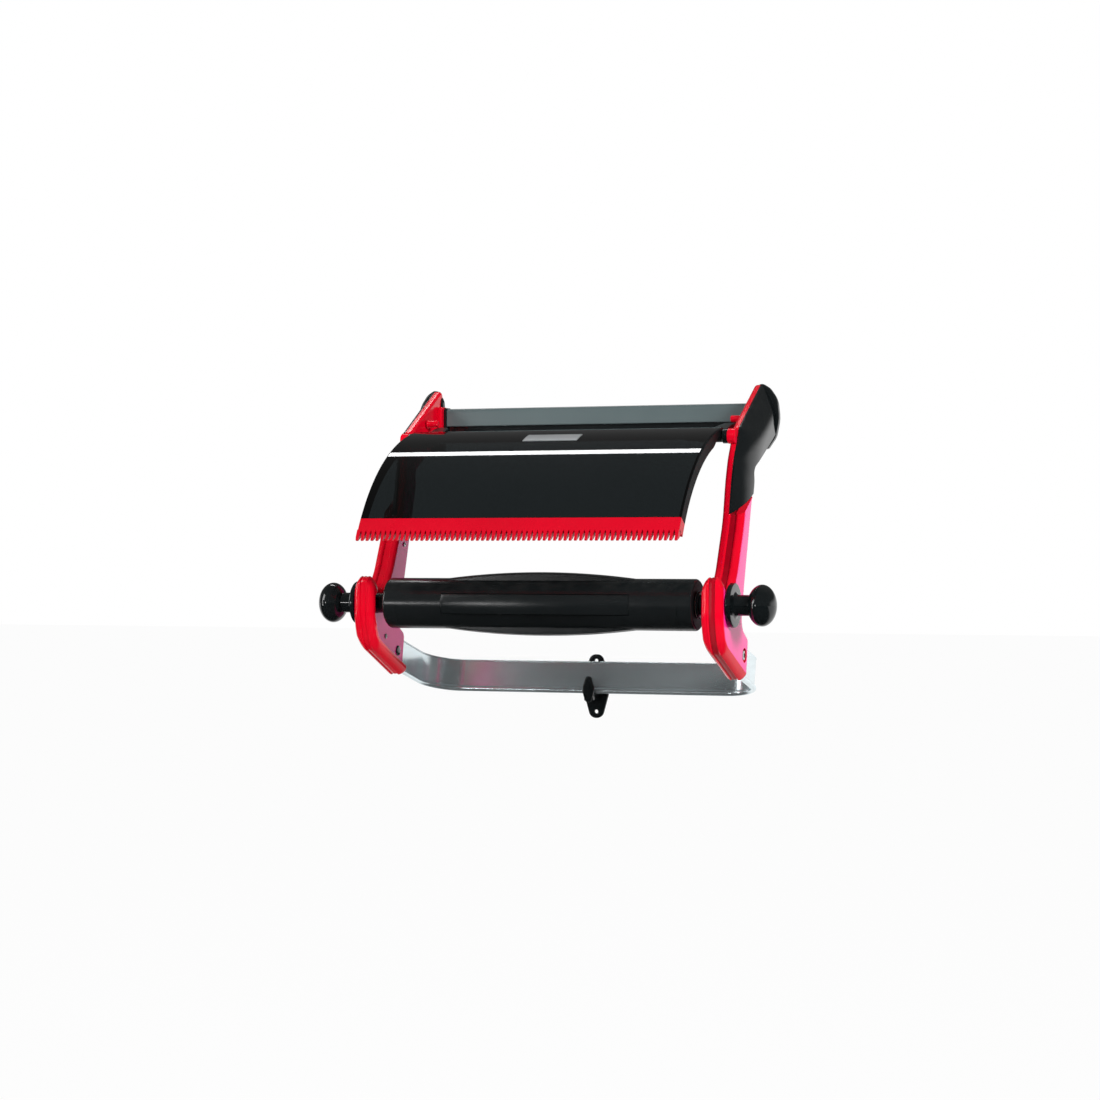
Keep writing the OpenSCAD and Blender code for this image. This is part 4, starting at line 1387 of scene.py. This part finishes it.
    def grip(self, word: str, angle: float) -> None:
        """One sprung grip, a leaf that arches out of the tube's window."""
        draft = Draft()
        bow = (self.grip_half ** 2 + self.grip_rise ** 2) / (2.0 * self.grip_rise)
        bmesh.ops.create_grid(draft.bm, x_segments=56, y_segments=10, size=0.5)
        root = bmesh.ops.extrude_face_region(draft.bm, geom=draft.bm.faces[:])["geom"]
        sunk = {item for item in root if isinstance(item, BMVert)}
        for vert in draft.bm.verts:
            x, across = vert.co.x * 2.0 * self.grip_half, vert.co.y * self.grip_width
            radius = self.body_radius + self.grip_rise - bow + math.sqrt(bow * bow - x * x)
            if vert in sunk:
                radius = self.body_radius - self.grip_thickness
            vert.co = Vector((x, across, math.sqrt(radius * radius - across * across)))
        draft.outwards()
        draft.soften([edge for edge in draft.bm.edges if edge.calc_face_angle(0.0) > 0.9], 0.7, 2)
        draft.turn(math.radians(angle), "X")
        draft.publish(f"{word}_sprung_grip", BLACK_BODY, f"{word}_grip", f"{word}_grip")


@dataclass
class Strap:
    """The bent metal strap below the roll and what fastens it to the arms."""

    bolt: Point2 = (69.0, -67.0)
    slope: float = 15.0
    half: float = 243.0
    height: float = 40.0
    thickness: float = 2.5
    corner: float = 50.0
    run: float = 148.05
    front: float = 14.0
    tab: float = 26.0
    bead: float = 4.0
    top_bead: float = 1.7

    BOLT = (
        (241.0, 0.0), (241.0, 9.2), (250.2, 9.2), (250.2, 7.0), (255.8, 7.0), (257.2, 6.0), (257.6, 3.2),
        (255.5, 2.8), (255.5, 0.0),
    )
    CAP = ((237.0, 0.0), (237.0, 6.9), (235.2, 6.9), (234.6, 6.2), (234.3, 4.0), (234.2, 0.0))

    def build(self) -> None:
        """Builds the strap and its fastenings."""
        draft = Draft()
        draft.take(self.band())
        for radius, z in ((self.bead, -self.height / 2.0), (self.top_bead, self.height / 2.0)):
            draft.take(self.roll(radius, z))
        draft.turn(math.radians(-self.slope), "X")
        draft.shift((0.0, *self.bolt))
        draft.publish("bent_strap", STRAP_METAL, "frame", "support_strap")
        self.fastening("strap_bolt_heads", self.BOLT, 48, PLATED_STEEL, "strap_bolts")
        self.fastening("nut_cap_pair", self.CAP, 40, BLACK_GLOSS, "nut_caps")
        dress("strap_nuts", PLATED_STEEL)

    def carry(self, draft: Draft, edges: Sequence[BMEdge], start: float) -> None:
        """Carries a section's edges from the right arm round the back to the left one.

        Args:
            draft: The draft that holds the section.
            edges: The section's closed loop of edges, at the right arm.
            start: Where the section stands along the strap.
        """
        bend = self.run - self.corner
        side = self.half - self.corner
        loop = self.straight(draft, edges, Vector((0.0, bend - start, 0.0)))
        loop = self.bent(draft, loop, Vector((side, bend, 0.0)))
        loop = self.straight(draft, loop, Vector((-2.0 * side, 0.0, 0.0)))
        loop = self.bent(draft, loop, Vector((-side, bend, 0.0)))
        loop = self.straight(draft, loop, Vector((0.0, start - bend, 0.0)))
        for ends in (edges, loop):
            bmesh.ops.contextual_create(draft.bm, geom=ends)
        draft.outwards()

    @staticmethod
    def straight(draft: Draft, edges: Sequence[BMEdge], move: Vector) -> list[BMEdge]:
        """Extrudes edges along a straight line and returns the new ones."""
        grown = bmesh.ops.extrude_edge_only(draft.bm, edges=list(edges))["geom"]
        bmesh.ops.translate(draft.bm, vec=move, verts=[item for item in grown if isinstance(item, BMVert)])
        return [item for item in grown if isinstance(item, BMEdge)]

    @staticmethod
    def bent(draft: Draft, edges: Sequence[BMEdge], centre: Vector) -> list[BMEdge]:
        """Carries edges round a quarter turn and returns the new ones."""
        verts = list({vert for edge in edges for vert in edge.verts})
        spun = bmesh.ops.spin(
            draft.bm, geom=verts + list(edges), cent=centre, axis=(0.0, 0.0, 1.0), angle=QUARTER, steps=24,
            use_merge=False, use_duplicate=False,
        )
        return [item for item in spun["geom_last"] if isinstance(item, BMEdge)]

    def band(self) -> Draft:
        """The flat band."""
        part = Draft()
        thick, high = self.thickness / 2.0, self.height / 2.0
        corners = ((-thick, -high), (thick, -high), (thick, high), (-thick, high))
        verts = [part.bm.verts.new((self.half + x, -self.front, z)) for x, z in corners]
        loop = [part.bm.edges.new(pair) for pair in zip(verts, verts[1:] + verts[:1])]
        self.carry(part, loop, -self.front)
        return part

    def roll(self, radius: float, z: float) -> Draft:
        """A rolled bead along one edge of the band."""
        part = Draft()
        self.carry(part, part.circle(radius, Vector((self.half, self.tab, z)), "X", 28), self.tab)
        return part

    def fastening(self, name: str, profile: Sequence[Point2], steps: int, finish: Finish, node: str) -> None:
        """Turns a pair of pieces that sit at the strap's bolts.

        Args:
            name: The name of the piece.
            profile: Places along X with their radii, in order.
            steps: Number of segments.
            finish: The finish.
            node: The node that the pair stands for.
        """
        draft = Draft()
        draft.turned(profile, *self.bolt, steps)
        draft.both_ends()
        draft.publish(name, finish, "frame", node)


@dataclass
class WallHook:
    """The black hook on the wall that the strap rests in."""

    wall: float = 224.0
    middle: float = -119.0
    width: float = 42.0
    height: float = 89.0
    thickness: float = 4.0
    hole_gap: float = 71.0
    hole_radius: float = 2.75
    lip_width: float = 19.0
    lip_height: float = 36.0
    lip_thickness: float = 6.0
    lip_back: float = 190.0
    lip_sink: float = 2.0
    shelf_top: float = -128.9
    shelf_depth: float = 9.0
    shelf_width: float = 13.3
    shelf_sink: float = 2.0

    PLATE_ENDS = (8.5, 10.0, 44.0)
    LIP_ENDS = (4.0, 5.0, 22.0)

    @staticmethod
    def almond(width: float, height: float, ends: Point3) -> list[Corner]:
        """An upright almond outline.

        Args:
            width: Its width.
            height: Its height.
            ends: Half the width of its ends, their corner radius and the corner radius of its sides.

        Returns:
            The corners, about the middle.
        """
        tip, end, side = ends
        half, top = width / 2.0, height / 2.0
        return [
            (tip, top, end), (-tip, top, end), (-half, 0.0, side),
            (-tip, -top, end), (tip, -top, end), (half, 0.0, side),
        ]

    def build(self) -> None:
        """Builds the plate, the shelf and the upturned lip as one casting."""
        draft = Draft()
        for part in (self.plate(), self.lip(), self.shelf()):
            draft.take(part)
        draft.publish("cast_hook", BLACK_GLOSS, "frame", "wall_hook")

    def plate(self) -> Draft:
        """The plate on the wall, with its two holes."""
        plate = Draft()
        face = plate.outline(self.almond(self.width, self.height, self.PLATE_ENDS), 0.0)
        holes = [(0.0, k * self.hole_gap / 2.0, self.hole_radius) for k in (-1.0, 1.0)]
        plate.thicken(plate.pierced(face, holes, 0.0), self.thickness)
        plate.outwards()
        plate.soften(plate.rim(self.thickness), 1.1, 3)
        plate.turn(-QUARTER, "Z")
        plate.shift((0.0, self.wall, self.middle))
        return plate

    def lip(self) -> Draft:
        """The upturned lip in front of the strap."""
        lip = Draft()
        outline = self.almond(self.lip_width, self.lip_height, self.LIP_ENDS)
        lip.slab(outline, 0.0, self.lip_thickness, near=1.4, far=2.4)
        lip.turn(-QUARTER, "Z")
        height = self.shelf_top - self.shelf_depth + self.lip_height / 2.0 - self.lip_sink
        lip.shift((0.0, self.lip_back, height))
        return lip

    def shelf(self) -> Draft:
        """The shelf from the plate to the lip."""
        shelf = Draft()
        reach = self.wall - self.lip_back
        shelf.block((self.shelf_width, reach, self.shelf_depth))
        shelf.soften(shelf.lengthways(), 2.2, 3)
        middle = self.lip_back - self.shelf_sink + reach / 2.0
        shelf.shift((0.0, middle, self.shelf_top - self.shelf_depth / 2.0))
        return shelf


# Studio


@dataclass
class Studio:
    """The pale floor, the soft lamps, the white surround and the camera."""

    camera_place: Vector = Vector((1.2189, -3.5411, -0.1808))
    camera_azimuth: float = 20.0
    lens: float = 87.64
    sensor: float = 36.0
    floor_height: float = -1.25
    floor_size: float = 30.0
    floor_grey: float = 0.86
    floor_glow: float = 0.97
    gloom: float = 0.1

    def build(self) -> None:
        """Builds the studio round the holder."""
        self.camera()
        self.floor()
        self.surround()
        self.lamps()
        bpy.context.scene.view_settings.view_transform = "Standard"

    def camera(self) -> None:
        """The camera at the photograph's angle."""
        data = bpy.data.cameras.new("camera")
        data.lens = self.lens
        data.sensor_width = self.sensor
        eye = bpy.data.objects.new("camera", data)
        eye.location = self.camera_place
        eye.rotation_euler = (QUARTER, 0.0, math.radians(self.camera_azimuth))
        bpy.context.scene.collection.objects.link(eye)
        bpy.context.scene.camera = eye

    def floor(self) -> None:
        """A wide white floor that keeps a soft shadow."""
        bm = bmesh.new()
        bmesh.ops.create_grid(bm, x_segments=1, y_segments=1, size=self.floor_size)
        bmesh.ops.translate(bm, vec=(0.0, 0.0, self.floor_height), verts=bm.verts)
        mesh = bpy.data.meshes.new("studio_floor")
        bm.to_mesh(mesh)
        bm.free()
        mesh.materials.append(self.floor_material())
        ground = bpy.data.objects.new("studio_floor", mesh)
        bpy.context.scene.collection.objects.link(ground)

    def floor_material(self) -> Material:
        """White to the eye and through the hood; reflections find it white only behind the holder."""
        made = bpy.data.materials.new("floor_white")
        made.use_nodes = True
        nodes = made.node_tree.nodes
        wiring = Wiring(made.node_tree)
        paint = nodes["Principled BSDF"]
        wiring.feed(paint.inputs["Base Color"], (*[self.floor_grey] * 3, 1.0))
        wiring.feed(paint.inputs["Roughness"], 0.9)
        path = wiring.add("LightPath").outputs
        direct = wiring.math("MAXIMUM", path["Is Camera Ray"], path["Is Transmission Ray"])
        seen = wiring.math("MAXIMUM", direct, path["Is Glossy Ray"])
        depth = wiring.split(wiring.add("NewGeometry").outputs["Position"], "Y")
        behind = wiring.ramp(depth, (0.3, 1.2), smooth=True)
        glow = wiring.add("Emission", {"Strength": wiring.math("MAXIMUM", direct, behind)})
        both = wiring.add("MixShader", {
            "Fac": wiring.math("MULTIPLY", seen, self.floor_glow),
            1: paint.outputs["BSDF"],
            2: glow.outputs["Emission"],
        })
        wiring.feed(nodes["Material Output"].inputs["Surface"], both.outputs["Shader"])
        return made

    def surround(self) -> None:
        """A white surround to the eye; reflections find it white only low behind the holder."""
        world = bpy.data.worlds.new("studio")
        world.use_nodes = True
        wiring = Wiring(world.node_tree)
        way = wiring.add("TexCoord").outputs["Generated"]
        low = wiring.ramp(wiring.split(way, "Z"), (0.06, 0.24), (1.0, 0.0), smooth=True)
        behind = wiring.ramp(wiring.split(way, "Y"), (0.15, 0.6), smooth=True)
        dim = wiring.math("MULTIPLY_ADD", low, behind, self.gloom)
        direct = wiring.add("LightPath").outputs["Is Camera Ray"]
        level = wiring.add("Mix", {"Factor": direct, "A": dim, "B": 1.0}).outputs["Result"]
        sky = world.node_tree.nodes["Background"]
        wiring.feed(sky.inputs["Color"], (1.0, 1.0, 1.0, 1.0))
        wiring.feed(sky.inputs["Strength"], level)
        bpy.context.scene.world = world

    def lamps(self) -> None:
        """Two soft side panels, a front fill, a narrow strip overhead and two low ones at the left."""
        middle = (0.0, -0.1, -0.15)
        self.lamp("left_panel", (-2.4, -1.6, 0.9), middle, (1.2, 1.2), 25.0)
        self.lamp("right_panel", (2.8, -1.8, 1.2), middle, (1.0, 1.0), 120.0, False)
        self.lamp("front_fill", (-0.4, -3.6, 1.2), middle, (1.6, 1.6), 72.0, False)
        self.lamp("overhead_strip", (-0.52, 0.55, 1.222), (-0.52, -0.234, -0.058), (0.76, 0.12), 3.4)
        self.lamp("low_strip", (-1.68, -3.2, -0.22), (-0.15, -0.224, -0.252), (0.5, 0.3), 6.5)
        self.lamp("left_strip", (-2.5, -1.3, -0.2), (-0.25, -0.25, -0.26), (0.2, 1.2), 9.0)

    @staticmethod
    def lamp(
        name: str, place: Point3, target: Point3, size: Point2, power: float, mirrored: bool = True
    ) -> None:
        """Hangs a rectangular lamp and aims it.

        Args:
            name: The lamp's name.
            place: Where it hangs, in metres.
            target: What it points at.
            size: Its width and height.
            power: Its power in watts.
            mirrored: Whether glossy surfaces show it.
        """
        data = bpy.data.lights.new(name, "AREA")
        data.shape = "RECTANGLE"
        data.size, data.size_y = size
        data.energy = power
        hung = bpy.data.objects.new(name, data)
        hung.location = place
        hung.visible_glossy = mirrored
        hung.rotation_euler = (Vector(target) - Vector(place)).to_track_quat("-Z", "Y").to_euler()
        bpy.context.scene.collection.objects.link(hung)


def main() -> None:
    """Builds the studio and every sub-assembly in order."""
    logging.basicConfig(level=logging.INFO, format="%(message)s")
    Studio().build()
    WallRail().build()
    for side in Side:
        Arm(side).build()
    Hood().build()
    Spindle().build()
    Strap().build()
    WallHook().build()


if __name__ == "__main__":
    main()
